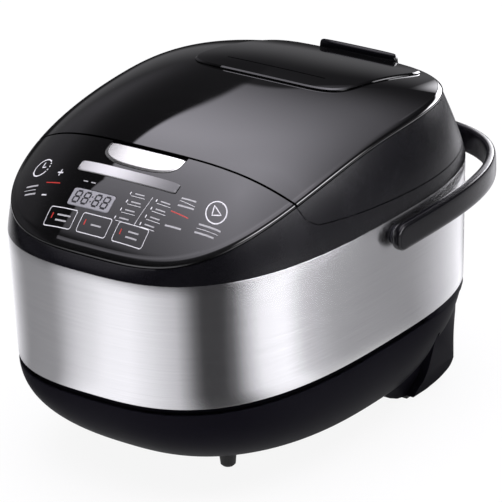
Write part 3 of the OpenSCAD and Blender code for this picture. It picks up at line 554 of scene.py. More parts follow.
# %% Gloss shell
LEAN, SPLIT_Y, SPLIT_Z, LID_GAP = radians(30), -115.5, 242, 1.9
WALL, LIP_H, EASE = 2.4, 1.9, 1.1


def crown_ring(share, inset, drop):
    x, y = top_oval(ROLL_W + inset)
    x, y = x * share, widest_y + (y - widest_y) * share
    return ring(x, y, edge_z(y) + ROLL_H + crown(y, share) - drop)


def edge_ring(inset, lift):
    x, y = top_oval(inset)
    return ring(x, y, edge_z(y) + lift)


def roll_rings():
    """Rings up a soft curve from the top of the lip to the edge of the crown."""
    start, pull, push, end = np.array([(0, LIP_H), (0, 3.6), (1.5, 4.6), (ROLL_W, ROLL_H)])
    for t in np.linspace(0, 1, 11)[1:-1]:
        yield edge_ring(*((1 - t) ** 3 * start + 3 * t * (1 - t) ** 2 * pull
                          + 3 * t * t * (1 - t) * push + t ** 3 * end))


def gloss_shell(name):
    under = [crown_ring(s, WALL, WALL) for s in (0.02, 0.25, 0.5, 0.7, 0.82, 0.9, 0.96, 1)]
    lip = [edge_ring(inset, lift) for inset, lift in
           ((WALL + 0.4, 0.7), (0.7, 0.7), (0.2, 0.85), (0.04, 1.3), (0, LIP_H))]
    shares = [*(1 - np.linspace(0, 0.3, 22) ** 1.15), *np.linspace(0.7, 0.02, 26)]
    return loft(name, under + lip + list(roll_rings()) + [crown_ring(s, 0, 0) for s in shares])


def over_shell(spot):
    """Whether a point lies within a millimetre of the outside of the gloss shell."""
    x, y, z = spot / MM
    return z > gloss_z(x, y) - 1.0


def split(piece, gap, keep_rear):
    """Cuts a piece with the leaning plane between the panel and the lid, closes it and eases its edge."""
    across = Vector((0, cos(LEAN), sin(LEAN)))
    spot = Vector((0, SPLIT_Y, SPLIT_Z)) * MM + across * gap * MM
    work = bmesh.new()
    work.from_mesh(piece.data)
    whole = work.verts[:] + work.edges[:] + work.faces[:]
    cut = bmesh.ops.bisect_plane(work, geom=whole, dist=1e-7, plane_co=spot, plane_no=across,
                                 clear_inner=keep_rear, clear_outer=not keep_rear)
    rim = [e for e in cut["geom_cut"] if isinstance(e, bmesh.types.BMEdge)]
    bmesh.ops.triangle_fill(work, use_beauty=True, edges=rim)
    bmesh.ops.recalc_face_normals(work, faces=work.faces)
    sharp = [e for e in work.edges if len(e.link_faces) == 2 and e.calc_face_angle() > 0.7]
    cut_edges = [e for e in sharp if abs((e.verts[0].co - spot).dot(across)) < 1e-6]
    brink = [e for e in cut_edges if over_shell(e.verts[0].co) and over_shell(e.verts[1].co)]
    bmesh.ops.bevel(work, geom=brink, offset=EASE * MM, segments=3, profile=0.5, affect="EDGES",
                    clamp_overlap=True)
    work.to_mesh(piece.data)
    work.free()
    return piece


def pad_outline(plan, inset=0.0, share=1.0):
    """Plan of a pad: middle x and y, half width, then depth and squareness at the rear and front."""
    cx, cy, half_w, rear, rear_square, front, front_square = plan
    side, fore = np.cos(even), np.sin(even)
    square = np.where(fore < 0, front_square, rear_square)
    reach = (np.abs(side) ** square + np.abs(fore) ** square) ** (-1 / square) * share
    depth = np.where(fore < 0, front, rear) - inset
    return cx + (half_w - inset) * side * reach, cy + depth * fore * reach


def pad_cutter(plan, gap):
    return prism("cutter", np.stack(pad_outline(plan, -gap), -1), "Z", 150, 300)


PAD_GAP = 0.3
button_plan = (0, -121, 34, 3.2, 12, 14, 2.8)
button_bay = (0, -121, 34, 30, 30, 14, 2.8)
strip_plan = (0, -142.3, 44.5, 4, 12, 4, 12)
window_plan = (-17.7, -164, 18.8, 5.7, 12, 5.7, 12)

panel = split(gloss_shell("gloss_panel"), 0, False)
carve(panel, pad_cutter(button_bay, PAD_GAP))
carve(panel, pad_cutter(window_plan, PAD_GAP))
dress(panel, "housing", "gloss_black", ["control_panel"], surface=gloss_normal)

lid = split(gloss_shell("gloss_lid"), LID_GAP, True)
cup_low, cup_high = limits("steam_cup")
cup_y, cup_r = (cup_low[1] + cup_high[1]) / 2, (cup_high[1] - cup_low[1]) / 2 + PAD_GAP
cup_x = cup_high[0] + PAD_GAP - cup_r
stadium = [(copysign(cup_x, cos(a)) + cup_r * cos(a), cup_y + cup_r * sin(a))
           for a in np.linspace(0.05, 2 * pi + 0.05, 65)[:-1]]
carve(lid, prism("cutter", stadium, "Z", 200, 300))
dress(lid, "lid", "gloss_black", ["lid_cover"], surface=gloss_normal)

# %% [markdown]
# The shoulder rises from the steel band to the gloss top and draws in on the way. Its rear part
# belongs to the lid, and the line between the two runs level at the rear and sweeps up towards
# the front. A prism of that side view cuts the same shell twice, once for each side of the gap.

# %% Shoulder
SIDE_Z, SIDE_Y, SIDE_R = 187.0, 80.0, 1190.0
SHOULDER_WALL, DRAW_IN, SKIRT_GAP = 2.8, 1.2, 0.8


def shoulder_ring(share, inset):
    low_x, low_y = body_oval(inset)
    top_x, top_y = top_oval(inset)
    mix = share ** DRAW_IN
    return ring(low_x + (top_x - low_x) * mix, low_y + (top_y - low_y) * mix,
                band_top + (edge_z(top_y) - band_top) * share)


def shoulder_shell(name):
    shares = np.linspace(0, 1, 15)
    outside = [shoulder_ring(s, 0) for s in shares]
    inside = [shoulder_ring(s, SHOULDER_WALL) for s in shares[::-1]]
    return loft(name, outside + inside, closed=True)


def side_z(y):
    return SIDE_Z + max(0, SIDE_Y - y) ** 2 / (2 * SIDE_R)


def lid_space(gap):
    """Block with the side view of the lid, moved off the split by the gap."""
    def lean_y(z):
        return SPLIT_Y + (SPLIT_Z - z) * tan(LEAN) + gap / cos(LEAN)
    corner_y = lean_y(SIDE_Z + 10) - gap / cos(LEAN)
    corner_z = side_z(corner_y) + 6
    sweep = [(y, side_z(y) + gap) for y in np.linspace(corner_y + 6, SIDE_Y, 26)]
    front, rear = [(lean_y(300), 300), (lean_y(corner_z), corner_z)], [(FAR, SIDE_Z + gap), (FAR, 300)]
    return prism("cutter", front + sweep + rear, "X", -FAR, FAR)


def part_of(node, name, keep):
    """Copy of the faces of a solid whose middles pass a test, in millimetres."""
    work = bmesh.new()
    work.from_mesh(nodes[node].data)
    bmesh.ops.remove_doubles(work, verts=work.verts, dist=1e-6)
    drop = [f for f in work.faces if not keep(*(f.calc_center_median() / MM))]
    bmesh.ops.delete(work, geom=drop, context="FACES")
    mesh = bpy.data.meshes.new(name)
    work.to_mesh(mesh)
    work.free()
    return show(name, mesh)


HINGE_HALF_W, HINGE_TOP = 46, 207
skirt = carve(shoulder_shell("lid_shoulder"), lid_space(SKIRT_GAP), "INTERSECT")
carve(skirt, block((-HINGE_HALF_W, 150, 0), (HINGE_HALF_W, FAR, HINGE_TOP)))
dress(skirt, "lid", "satin_plastic", ["lid_skirt"])
collar = carve(shoulder_shell("collar_shoulder"), lid_space(0))
dress(collar, "housing", "satin_plastic", ["upper_collar"])


def inside_collar(x, y, z):
    """Whether a place lies 3 mm or more inside the shoulder."""
    share = min(1, max(0, (z - band_top) / (edge_z(y) - band_top)))
    spans = ((body_half_w, top_half_w), (body_front, top_front), (body_rear, top_rear))
    sizes = [low + (top - low) * share ** DRAW_IN - 3 for low, top in spans]
    squares = [low + (top - low) * share for low, top in zip(BODY_SQUARE, TOP_SQUARE)]
    return in_oval(x, y, *sizes, *squares)


dress(part_of("upper_collar", "collar_inside", inside_collar), "housing", "satin_plastic")

# %% [markdown]
# The base is one moulding: a skirt that bulges out from a flat underside to the band, a shadow
# step under the band, and two hollow legs at the rear that run on from the skirt. A leg is what
# its side view, its front view and the plan of the body have in common, which is how it would be
# cut from a block. In front of each leg a hollow is scooped from the skirt.

# %% Base
BASE_Z, BASE_WALL, STEP_H, STEP_IN, TAPER = 16.0, 2.6, 4.8, 3.5, 2.4
FOOT_R, BRINK_R = 4, 0.8
LEG_Y, LEG_IN, LEG_OUT, LEG_TOP, LEG_WALL, PAD_H = 78.0, 86.0, 104.0, 60.0, 7, 2.0
SCREW_X, SCREW_Y, SCREW_R = 95.5, 89, 3.7
POT_Y, POT_ROOM_R = 12, 116


def base_plan(z, inset):
    """Half width, depths and squarenesses of the base at a height."""
    drop = min(1, max(0, (band_z - z) / (band_z - BASE_Z)))
    side, tail = drop ** 2.3, drop ** 1.1
    draws = ((body_half_w, 23.6 * side), (body_front, 51.6 * side), (body_rear, 42.6 * tail))
    return *(size - TAPER - draw - inset for size, draw in draws), 2.9 - 0.44 * side, 2.8 - 0.34 * side


def base_ring(z, inset):
    return ring(*oval(*base_plan(z, inset)), z)


def smooth(points, parts=6):
    """Points along a soft curve through the given ones."""
    points = np.asarray(points, float)
    ends = [2 * points[0] - points[1], *points, 2 * points[-1] - points[-2]]
    line = []
    for a, b, c, d in zip(ends, ends[1:], ends[2:], ends[3:]):
        for t in np.arange(parts) / parts:
            bend, twist = 2 * a - 5 * b + 4 * c - d, 3 * b - a - 3 * c + d
            line.append(0.5 * (2 * b + (c - a) * t + bend * t * t + twist * t ** 3))
    return line + [points[-1]]


def base_skirt():
    step_z = band_z - STEP_H
    step = [(step_z, STEP_IN), (band_z - 0.01, STEP_IN + TAPER)]
    outside = [(BASE_Z + FOOT_R * (1 - cos(a)), FOOT_R * (1 - sin(a)))
               for a in np.linspace(0, pi / 2, 7)]
    outside += [(z, 0) for z in np.linspace(BASE_Z + FOOT_R, step_z - BRINK_R, 26)[1:]]
    outside += [(step_z - BRINK_R * (1 - sin(a)), BRINK_R * (1 - cos(a)))
                for a in np.linspace(0, pi / 2, 5)[1:]]
    inside = step[::-1] + [(54, 0), (40, 0), (28, 0), (19, FOOT_R), (BASE_Z, FOOT_R)]
    profile = outside + step + [(z, inset + BASE_WALL) for z, inset in inside]
    return loft("base_skirt", [base_ring(z, inset) for z, inset in profile], closed=True)


def from_leg(points):
    return [(LEG_Y + y, z) for y, z in points]


def leg_view(side, inset):
    """Block with the front view of a leg, from its inside to its skin."""
    skin = smooth([(LEG_OUT + out, z) for out, z in ((4, 0), (6, 12), (9.5, 24), (15, 41), (20, LEG_TOP))])
    view = [(LEG_IN, 0)] + [(x - inset, z) for x, z in skin] + [(LEG_IN, LEG_TOP)]
    return prism("cutter", [(side * x, z) for x, z in view], "Y", -FAR, FAR)


toe = smooth([(-8.5, LEG_TOP), (-8.5, 44), (-7.5, 34), (-6.5, 25), (-6.5, 18), (-9, 11.6), (-14, 8),
              (-21, PAD_H)])
heel = smooth([(-3, PAD_H), (12, 4), (21, 6.5), (27, 9.2), (30, 13), (31, 20), (31.5, 30), (33, 38),
               (37, 46), (44, 52), (52, LEG_TOP)])
brace = [(-54, 16), (-44, 9), (-33, 4), (-24, PAD_H), (-3, PAD_H), (4, LEG_TOP - 2),
         (-16, LEG_TOP - 2), (-26, 44), (-54, 30)]
arch = smooth([(-60, 5), (-44, 11), (-30, 14.5), (-22, 20), (-16.5, 28), (-12, 39), (-9.2, LEG_TOP - 6)])
skirt_piece = base_skirt()
legs = []
for side in (1, -1):
    across = sorted((side * (LEG_IN + 0.1), side * FAR))
    hollow = prism("hollow", from_leg(arch + [(-4, LEG_TOP - 6), (-4, 5)]), "X", *across)
    carve(hollow, leg_view(side, LEG_WALL))
    carve(skirt_piece, hollow)
    leg = prism("leg", from_leg(toe + heel), "X", *across)
    carve(leg, leg_view(side, 0), "INTERSECT")
    carve(leg, prism("cutter", np.stack(body_oval(8), -1), "Z", 0, LEG_TOP - 0.2), "INTERSECT")
    carve(leg, prism("cutter", circle_points(side * SCREW_X, SCREW_Y, SCREW_R), "Z", -5, 44))
    stay = prism("stay", from_leg(brace), "X", *across)
    carve(stay, leg_view(side, LEG_WALL), "INTERSECT")
    carve(stay, prism("cutter", circle_points(0, POT_Y, POT_ROOM_R, count=96), "Z", 20, 100))
    legs += [leg, stay]
dress(join(skirt_piece, *legs), "housing", "base_plastic", ["base_pan"], angle=28)


def inside_base(x, y, z):
    """Whether a place lies 1.5 mm or more inside the base, and not in a leg."""
    if abs(x) > LEG_IN - 1 and 15 < y < 135 and z < LEG_TOP + 3:
        return False
    return in_oval(x, y, *base_plan(z, 1.5)) or y > 50 and z > band_z - STEP_H


dress(part_of("base_pan", "base_inside", inside_base), "housing", "base_plastic")

# %% [markdown]
# The steel band is a plain sheet bent round the body, a little narrower at its foot. Its upper
# and lower edges are turned in by a hair, which gives the fine bright line along each of them.

# %% Steel band
SHEET, REAR_HALF_W, BORE_R = 0.8, 48.3, 6.15


def band_ring(z, inset):
    x, y = body_oval(inset + TAPER * (band_top - z) / (band_top - band_z))
    return ring(x, y, z)


turn_in = [(0, 0.35), (0.12, 0.12), (0.4, 0)]
profile = [(band_z + up, inset) for up, inset in turn_in]
profile += [(z, 0) for z in np.linspace(band_z, band_top, 9)[1:-1]]
profile += [(band_top - down, inset) for down, inset in turn_in[::-1]] + [(band_top, SHEET), (band_z, SHEET)]
band = loft("band_sheet", [band_ring(z, inset) for z, inset in profile], closed=True)
carve(band, block((-REAR_HALF_W, 100, 0), (REAR_HALF_W, FAR, FAR)))
_, pivot_y, pivot_z = (part / MM for part in joints["handle_swing"]["pos_m"])
carve(band, prism("cutter", circle_points(pivot_y, pivot_z, BORE_R, count=48), "X", -200, 200))
dress(band, "housing", "brushed_band", ["steel_band"], angle=40)

# %% [markdown]
# The vent cover is a thin plate that lies just over the lid and follows its curve, with a slanted
# rim that catches the light, a long narrow slot for the steam and a finger tab across the rear.
# Under it hangs the rim that plugs into the steam cup, which is taken over from the solid.

# %% Vent cover
def pad_ring(plan, inset, lift, share=1.0):
    x, y = pad_outline(plan, inset, share)
    return ring(x, y, gloss_z(x, y) + lift)


def pad(name, plan, low, high, slant, rows=22):
    """Thin plate on the gloss top, between two heights over it, with a slanted rim."""
    under = [pad_ring(plan, 0, low, s) for s in (0.02, 0.3, 0.6, 0.8, 1)]
    rim = [pad_ring(plan, slant * t, high - slant * 0.75 * (1 - t)) for t in (0, 0.05, 0.95, 1)]
    over = [pad_ring(plan, slant, high, s) for s in np.linspace(1, 0.02, rows)[1:]]
    return loft(name, under + rim + over)


VENT_REAR, SLOT_Y, SLOT_HALF_W, SLOT_HALF = 143, 40.0, 45, 0.7
vent_low, vent_high = limits("steam_cover")
vent_half = (VENT_REAR - vent_low[1]) / 2
vent_plan = (0, VENT_REAR - vent_half, vent_high[0], vent_half, 7, vent_half, 6)
vent = pad("vent_cover", vent_plan, 0.3, 2.0, 1.2, 40)
carve(vent, block((-SLOT_HALF_W, SLOT_Y - SLOT_HALF, 200), (SLOT_HALF_W, SLOT_Y + SLOT_HALF, 300)))
dress(vent, "steam_cover", "gloss_black", ["steam_cover"], surface=gloss_normal)
plug = part_of("steam_cover", "vent_plug", lambda x, y, z: z < gloss_z(x, y) + 0.35)
dress(plug, "steam_cover", "gloss_black")

tab_plan = (0, 148.5, 36, 5.5, 3, 5.5, 3.4)
tab_h, tab_round = 7.7, 3.0
tab_rings = [pad_ring(tab_plan, inset, lift) for inset, lift in
             ((0, -0.6), (0, 0), (0.4, 4.2), (0.9, 6.0), (1.8, 7.2), (tab_round, tab_h))]
tab_rings += [pad_ring(tab_plan, tab_round, tab_h, share) for share in (0.6, 0.3, 0.05)]
dress(loft("vent_tab", tab_rings), "steam_cover", "handle_plastic", angle=50)

# %% [markdown]
# The bail handle is one strap, upright in section and rounded at its corners, swept along a
# squarish half oval. Its two ends are rounded round the pivots, with stubs that run in the body.

# %% Bail handle
STRAP_T, BAIL_SQUARE, STRAP_PARTS, STUB_R, STUB_IN = 8.0, 3.4, 48, 4.5, 118.5
bail_low, bail_high = limits("handle")
bail_half_w, bail_h = bail_high[0], bail_high[2] - bail_low[2]
bail_reach = bail_high[1] - pivot_y


def bail_path(t, inset):
    """Place along the half oval, from 0 degrees at one pivot to 180 at the other."""
    t = radians(t)
    return np.array([(bail_half_w - inset) * power(cos(t), 2 / BAIL_SQUARE),
                     pivot_y + (bail_reach - inset) * power(sin(t), 2 / BAIL_SQUARE)])


def strap_ring(t, along=0.0, share=1.0):
    """Section of the strap. At the ends, along goes past the pivot and share shrinks the section."""
    half = STRAP_T / 2
    if 0 < t < 180:
        spot, ahead = bail_path(t, half), bail_path(t + 0.4, half) - bail_path(t - 0.4, half)
        ahead /= np.linalg.norm(ahead)
    else:
        side = 1 if t <= 0 else -1
        spot, ahead = np.array([side * (bail_half_w - half), pivot_y - along]), np.array([0, side])
    around = -np.arange(STRAP_PARTS) * 2 * pi / STRAP_PARTS
    u = half * power(np.cos(around), 0.6) * min(1, share * 1.6)
    v = bail_h / 2 * power(np.sin(around), 0.45) * share
    return ring(spot[0] + ahead[1] * u, spot[1] - ahead[0] * u, pivot_z + v)


bends = [90 * (k / 44) ** 1.8 for k in range(1, 45)]
ends = [radians(a) for a in np.linspace(86, 4, 14)]
rings = [strap_ring(0, bail_h / 2 * sin(a), cos(a)) for a in ends]
rings += [strap_ring(t) for t in bends + [180 - t for t in bends[-2::-1]]]
rings += [strap_ring(180, bail_h / 2 * sin(a), cos(a)) for a in ends[::-1]]
bail = loft("bail_handle", rings)
for side in (-1, 1):
    stub = circle_points(pivot_y, pivot_z, STUB_R, count=32)
    join(bail, prism("stub", stub, "X", *sorted((side * STUB_IN, side * (bail_half_w - STRAP_T / 2)))))
dress(bail, "handle", "handle_plastic", ["handle"])

# %% [markdown]
# Three small pads lie on the panel: the bright opening button at the split, a bare silver strip
# in front of it, and the display window. All follow the panel's curve. The button stands on two
# springs, which stay in the housing.

# %% Button, strip and window
button = pad("button_cap", button_plan, -5, 1.1, 1.0)
tongue = part_of("open_button", "tongue", lambda x, y, z: z < gloss_z(x, y) - 5.2 and abs(x) < 6.5)
dress(join(button, tongue), "open_button", "chrome_button", ["open_button"])
springs = part_of("button_spring", "return_springs", lambda x, y, z: True)
dress(springs, "housing", "screw_steel", ["button_spring"])
spring_foot, spring_top = (corner[2] for corner in limits("button_spring"))
press = joints["button_press"]["range_m"][1] / MM
1 - (press + 0.1) / (spring_top - spring_foot)
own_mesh(springs)
dress(pad("bare_strip", strip_plan, 0.35, 0.9, 0.2), "housing", "silver_strip", ["badge_strip"])
dress(pad("display_pane", window_plan, -1.6, 0.05, 0.2), "housing", "display_plastic", ["display_window"])

# %% [markdown]
# The marks on the panel are ink: flat, sharp and a few hundredths of a millimetre thick. Each is
# a flat outline laid on the gloss surface and lifted by a hair, so it follows every curve. The
# cooking names of such a panel are left out, and short rules stand in their places.

# %% Ink helpers
INK_LIFT, DIGIT_LIFT = 0.09, 0.14


class Ink:
    """Collects outlines and strokes, then makes one mesh of them on the gloss top."""

    def __init__(self, lift):
        self.points, self.faces, self.lift = [], [], lift

    def patch(self, outline):
        outline = np.asarray(outline, float)
        first = len(self.points)
        self.points += [(x, y) for x, y in outline]
        self.faces.append(tuple(range(first, first + len(outline))))

    def stroke(self, path, width, closed=False):
        """A line of even width along a path, with a point every 2 mm or so."""
        path = np.asarray(path, float)
        fine = []
        pairs = list(zip(path, np.roll(path, -1, 0)))
        for a, b in pairs if closed else pairs[:-1]:
            parts = max(1, int(np.linalg.norm(b - a) / 2.0))
            fine += [a + (b - a) * k / parts for k in range(parts)]
        if not closed:
            fine.append(path[-1])
        fine = np.array(fine)
        ahead = np.roll(fine, -1, 0) - np.roll(fine, 1, 0)
        if not closed:
            ahead[0], ahead[-1] = fine[1] - fine[0], fine[-1] - fine[-2]
        ahead /= np.linalg.norm(ahead, axis=1, keepdims=True)
        across = np.stack([-ahead[:, 1], ahead[:, 0]], -1) * width / 2
        first, count = len(self.points), len(fine)
        for spot, half in zip(fine, across):
            self.points += [tuple(spot + half), tuple(spot - half)]
        for k in range(count if closed else count - 1):
            a, b = first + 2 * k, first + 2 * ((k + 1) % count)
            self.faces.append((a, a + 1, b + 1, b))

    def make(self, name, look):
        x, y = np.array(self.points).T
        piece = mesh_object(name, ring(x, y, gloss_z(x, y) + self.lift), self.faces)
        for face in piece.data.polygons:
            if face.normal.z < 0:
                face.flip()
        return dress(piece, "housing", look, surface=gloss_normal)


def rounded(x1, x2, y1, y2, r):
    """Outline of a key with round corners."""
    corners = ((x2 - r, y2 - r, 0), (x1 + r, y2 - r, 90), (x1 + r, y1 + r, 180), (x2 - r, y1 + r, 270))
    return [spot for cx, cy, start in corners for spot in circle_points(cx, cy, r, start, start + 90, 6)]


# %% Keys, columns and rules of the panel
HAIR, KEY_LINE, LINE, RULE = 0.3, 0.5, 0.9, 1.1
white, rules, red, dark = Ink(INK_LIFT), Ink(INK_LIFT), Ink(INK_LIFT), Ink(DIGIT_LIFT)
for x1, x2 in ((-48, -23.5), (-18, 8), (14.4, 41)):
    white.stroke(rounded(x1, x2, -183.5, -172.5, 1.6), KEY_LINE, closed=True)
    red.stroke([(x1 + 4.4, -176.0), (x1 + 4.4, -179.2)], LINE)
for x, y, half in ((-33.5, -176.7, 6), (-34.5, -179.8, 5), (-3.2, -178.2, 4.5), (29.6, -176.6, 4.5),
                   (29.6, -179.7, 5)):
    rules.stroke([(x - half, y), (x + half, y)], LINE)
red.stroke([(-64.6, -157.2), (-51.9, -157.2)], 0.7)
red.stroke([(49.2, -157.2), (64.2, -157.2)], 0.7)
white.stroke([(29.8, -152.7), (27.1, -172.3)], 0.35)
for x, y in ((33.9, -153.9), (33.5, -159.6), (32.7, -165.3), (31.5, -170.4), (10.6, -153.6),
             (11.3, -159.4), (10.2, -165.2), (8.8, -170.7)):
    white.stroke([(x, y - 0.9), (x, y + 0.9)], LINE)
    rules.stroke([(x + 3.6, y + 0.3), (x + 12, y + 0.3)], 0.8)
    white.stroke([(x + 1.5, y - 1.7), (x + 13.5, y - 1.7)], HAIR)
for x, y, half, slope in ((-76.5, -159.2, 5.5, 0), (-74.5, -164.8, 5, 0), (57, -146.0, 6, 0.12),
                          (58, -151.3, 6.5, 0.12), (57, -165.8, 6.5, 0.12), (81.5, -155.0, 8, 0.25),
                          (80.5, -160.6, 7, 0.25)):
    rules.stroke([(x - half, y - half * slope), (x + half, y + half * slope)], RULE)
for ends in ([(-82, -162.0), (-71, -162.0)], [(51, -148.7), (64, -148.7)], [(73.5, -159.7), (89, -155.9)]):
    white.stroke(ends, HAIR)
for x in (-31, -24):
    rules.stroke([(x - 2, -153), (x + 2, -153)], 0.7)
print("bits of white line:", len(white.faces), "and of grey:", len(rules.faces))

# %% Clock, plus, minus and start of the panel
CLOCK_X, CLOCK_Y, CLOCK_R = -78, -144.8, 6.7
white.stroke(circle_points(CLOCK_X, CLOCK_Y, CLOCK_R, 40, 330), LINE)
for x, y in circle_points(CLOCK_X, CLOCK_Y, CLOCK_R, -18, 26, 2):
    white.patch(circle_points(x, y, 0.6, count=14))
white.stroke([(CLOCK_X, CLOCK_Y + 4.2), (CLOCK_X, CLOCK_Y), (CLOCK_X + 3.2, CLOCK_Y)], LINE)
for ends in ([(-59.8, -149.4), (-55.0, -149.4)], [(-57.4, -147.0), (-57.4, -151.8)],
             [(-62.6, -165.8), (-58.2, -165.8)]):
    white.stroke(ends, LINE)
white.stroke(circle_points(80, -144.6, 7.5), 0.85, closed=True)
white.stroke([(76.2, -141.4), (78.4, -147.9), (84.2, -144.6)], 0.8, closed=True)
print("bits of white line:", len(white.faces))

# %% Digits of the display
DIGIT_Y, DIGIT_HALF_W, DIGIT_HALF_H, DIGIT_LEAN = -164.0, 2.4, 3.7, 0.12
BAR, BAR_GAP = 1.25, 0.35
BARS = ((-1, 1, 1, 1), (1, 0, 1, 1), (1, -1, 1, 0), (-1, -1, 1, -1), (-1, -1, -1, 0), (-1, 0, -1, 1),
        (-1, 0, 1, 0))


def digit(cx):
    """Leaning digit with all of its seven bars, which stop short of each other."""
    for x1, y1, x2, y2 in BARS:
        ends = []
        for x, y, short in ((x1, y1, BAR_GAP), (x2, y2, -BAR_GAP)):
            x, y = x * DIGIT_HALF_W + short * (x1 != x2), y * DIGIT_HALF_H + short * (x1 == x2)
            ends.append((cx + x + y * DIGIT_LEAN, DIGIT_Y + y))
        dark.stroke(ends, BAR)


for cx in (-30.5, -22.6, -12.8, -4.9):
    digit(cx)
for y in (-162.4, -165.6):
    dark.patch(circle_points(-17.7, y, 0.6, count=14))
white.make("panel_marks", "white_ink")
rules.make("panel_rules", "grey_ink")
red.make("panel_lamps", "red_ink")
dark.make("display_digits", "dark_ink")

# %% [markdown]
# The camera looks from the front right and from above, with a long lens, so that upright edges
# stay nearly parallel. The cooker stands on a plain pale floor, which looks white to the camera
# and in reflections but still takes a faint shadow.

# %% Camera
AZIMUTH, ELEVATION, ROLL = map(radians, (36.92, 23.11, -1.93))
SENSOR, LENS, DISTANCE = 36, 275.43586, 2.919
level_back = Vector((sin(AZIMUTH), -cos(AZIMUTH), 0))
back = level_back * cos(ELEVATION) + Vector((0, 0, sin(ELEVATION)))
right = Vector((cos(AZIMUTH), sin(AZIMUTH), 0))
up = back.cross(right)
turned_right = right * cos(ROLL) + up * sin(ROLL)
turned_up = up * cos(ROLL) - right * sin(ROLL)
camera = bpy.data.objects.new("camera", bpy.data.cameras.new("camera"))
scene.collection.objects.link(camera)
camera.data.sensor_width, camera.data.lens = SENSOR, LENS
camera.data.clip_start, camera.data.clip_end = 0.1, 60
target = Vector((-5.98, 9.04, 115.28)) * MM
view = target + back * DISTANCE
turn = Matrix((turned_right, turned_up, back)).transposed()
camera.matrix_world = Matrix.Translation(view) @ turn.to_4x4()
scene.camera = camera
scene.view_settings.view_transform = "Standard"
print("camera at", [round(c, 3) for c in view], "lens", round(camera.data.lens, 1), "mm")

# %% Floor
FLOOR_R, FLOOR_PARTS = 3000, 96


def pale_floor():
    paint = Paint("pale_floor")
    seen = paint.ray("Camera") + paint.ray("Glossy") + paint.ray("Transmission")
    fibre = paint.noise(220, 4)
    matt = paint.node("BsdfDiffuse", None, {"Color": paint.blend(fibre, grey(0.90), grey(0.94))})
    return paint.close(paint.either(seen * 0.91, matt, paint.glow(grey(1.0))))


floor_disc = [(x, y, 0) for x, y in circle_points(0, 0, FLOOR_R, count=FLOOR_PARTS)]
floor = mesh_object("floor", floor_disc, [tuple(range(FLOOR_PARTS))])
floor.data.materials.append(pale_floor())

# %% [markdown]
# The light is one broad softbox overhead. It has a crisp curved left edge, is brightest straight
# above, dims outwards, most of all towards the rear right, and ends softly at the front and the
# right. The room round it is nearly dark, a little paler on the left. All of this is written in
# the slope of a ray: how far it goes sideways and to the rear for each step that it climbs. Such
# a bounded softbox suits the reflections but leaves matt surfaces dim, so light for them is
# raised by a share. The camera sees plain white where it looks past the floor.

# %% Light
BOX_LEVEL, END_DIM, MATT_MORE = 3.7, 0.92, 0.45
ROOM_LEVEL, ROOM_LEFT = 0.03, 0.16


def studio_sky():
    world = bpy.data.worlds.new("studio")
    scene.world = world
    sky = Paint("studio", world)
    ray = sky.node("TexCoord", output="Generated")
    dx, dy, dz = sky.axes(ray)
    height = dz.maths("MAXIMUM", dz, 0.02)
    x, y = dx / height, dy / height

    def over(value, level):
        """How far a value lies over a level."""
        return (value - level).maths("MAXIMUM", value - level, 0.0)

    # How far a ray lies to the right of the softbox's left edge.
    side = x + (y * y * 0.445 + 0.556) ** 0.5 + over(y * -1, 0.0) * 0.2
    # The softbox dims outwards in ovals, less to the rear, but more to the rear right.
    spread = x * x * 0.87 + x * (y - 0.1) * 1.03 + (y - 0.1) * (y - 0.1) * 1.35
    fade = sky.rise(y, 0.0, 0.9) * 0.5 - spread ** 0.57 - over(y, 0.4) * over(side, 0.0) * 1.6
    # It ends at a round corner at the front, which runs on straight along the right.
    far = (x + 0.5) * (x + 0.5) + over(0.5 - y, 0.0) * over(0.5 - y, 0.0)
    inside = sky.rise(side, -0.004, 0.004) * (1 - sky.rise(far, 1.3, 1.65) * END_DIM)
    softbox = inside * fade.maths("EXPONENT", fade) * BOX_LEVEL
    room = ROOM_LEVEL + sky.rise(side, -0.03, -0.8) * ROOM_LEFT * (1 - sky.rise(y, 1.5, 5.0) * 0.8)
    strength = (softbox + room) * (sky.ray("Diffuse") * MATT_MORE + 1)
    lights = sky.node("Background", None, {"Color": (1.0, 0.97, 1.07, 1), "Strength": strength})
    backdrop = sky.node("Background", None, {"Color": grey(1.0), "Strength": 1.0})
    seen = sky.ray("Camera") + sky.ray("Transmission")
    sky.close(sky.either(seen, lights, backdrop), "OutputWorld")


studio_sky()

# %% [markdown]
# Brushed steel shows what stands round it. In a studio that is a ring of pale and dark card close
# to the subject, which draws the soft upright stripes. The ring here is a shelf and a wall.
# The foot of the wall carries the stripes. Its upper part is dark but for two bright flags, which
# the shoulder mirrors, and it thins out to nothing at the top, so that no hard edge shows in the
# gloss. Only glossy rays see it. Each table below goes round the ring in degrees from +X.

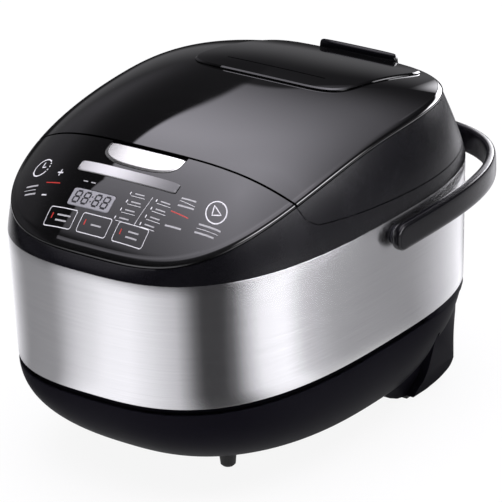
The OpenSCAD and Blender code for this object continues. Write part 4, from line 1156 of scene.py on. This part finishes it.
# %% Cards round the table
STRIPES = [(-180, 0.80), (-145, 0.22), (-122, 0.26), (-108, 0.90), (-96, 0.93), (-66, 0.52), (-55, 0.12),
           (-50, 0.03), (-39, 0.03), (-33, 0.10), (-20, 0.86), (-9, 1.0), (0, 0.50), (12, 0.30),
           (34, 0.24), (55, 0.62), (72, 0.90), (88, 0.10), (160, 0.10), (172, 0.80)]
FLAGS = [(-180, 0.01), (-36, 0.02), (-22, 0.85), (10, 0.85), (24, 0.02), (42, 0.02), (58, 1.0),
         (84, 1.0), (98, 0.01), (179, 0.01)]
WALL_TOP = [(-180, 320), (-160, 300), (-145, 195), (-90, 210), (-40, 240), (-28, 330), (16, 330),
            (28, 245), (46, 245), (58, 300), (84, 300), (104, 320), (180, 320)]
RIM_X, RIM_Y, RIM_Z, SHELF, RIM_PARTS = 300.0, 360.0, 1.5, 0.62, 180
FOOT_END, HEAD_START, THINNING = (140, 168), (204, 230), (235, 322)
STRIPE_LEVEL, FLAG_LEVEL = 1.7, 17.0


def card_mesh():
    around = np.linspace(0, 2 * pi, RIM_PARTS + 1)[:-1]
    degrees = (np.degrees(around) + 180) % 360 - 180
    tops = np.interp(degrees, *zip(*WALL_TOP))
    x, y = RIM_X * np.cos(around), RIM_Y * np.sin(around)
    rows = [ring(x * SHELF, y * SHELF, RIM_Z), ring(x, y, RIM_Z), ring(x, y, tops)]
    beside = [(i, (i + 1) % RIM_PARTS) for i in range(RIM_PARTS)]
    faces = [(r + i, r + k, r + RIM_PARTS + k, r + RIM_PARTS + i) for r in (0, RIM_PARTS) for i, k in beside]
    return mesh_object("card_ring", np.concatenate(rows), faces)


def card_glow():
    paint = Paint("card_glow")
    x, y, z = paint.axes(paint.place())
    turn = (y / RIM_Y).maths("ARCTAN2", y / RIM_Y, x / RIM_X) / (2 * pi) + 0.5

    def by_turn(table):
        stops = [((angle + 180) / 360, level) for angle, level in table]
        return paint.node("ValToRGB", {"stops": stops}, {"Fac": turn})

    foot, head, thin = (paint.rise(z, low * MM, high * MM) for low, high in (FOOT_END, HEAD_START, THINNING))
    stripes = by_turn(STRIPES) * (1 - foot) / (FLAG_LEVEL / STRIPE_LEVEL)
    level = stripes + by_turn(FLAGS) * head + 0.001
    tone = paint.blend(level, (0, 0, 0, 1), (1, 0.99, 1.035, 1))
    clear = paint.node("BsdfTransparent", None, {"Color": grey(1.0)})
    return paint.close(paint.either(thin, paint.glow(tone, FLAG_LEVEL), clear))


card_ring = card_mesh()
card_ring.data.materials.append(card_glow())
for sort in ("camera", "diffuse", "shadow", "transmission", "volume_scatter"):
    setattr(card_ring, "visible_" + sort, False)
print("stops round the table:", len(STRIPES), "in the foot and", len(FLAGS), "in the upper part")
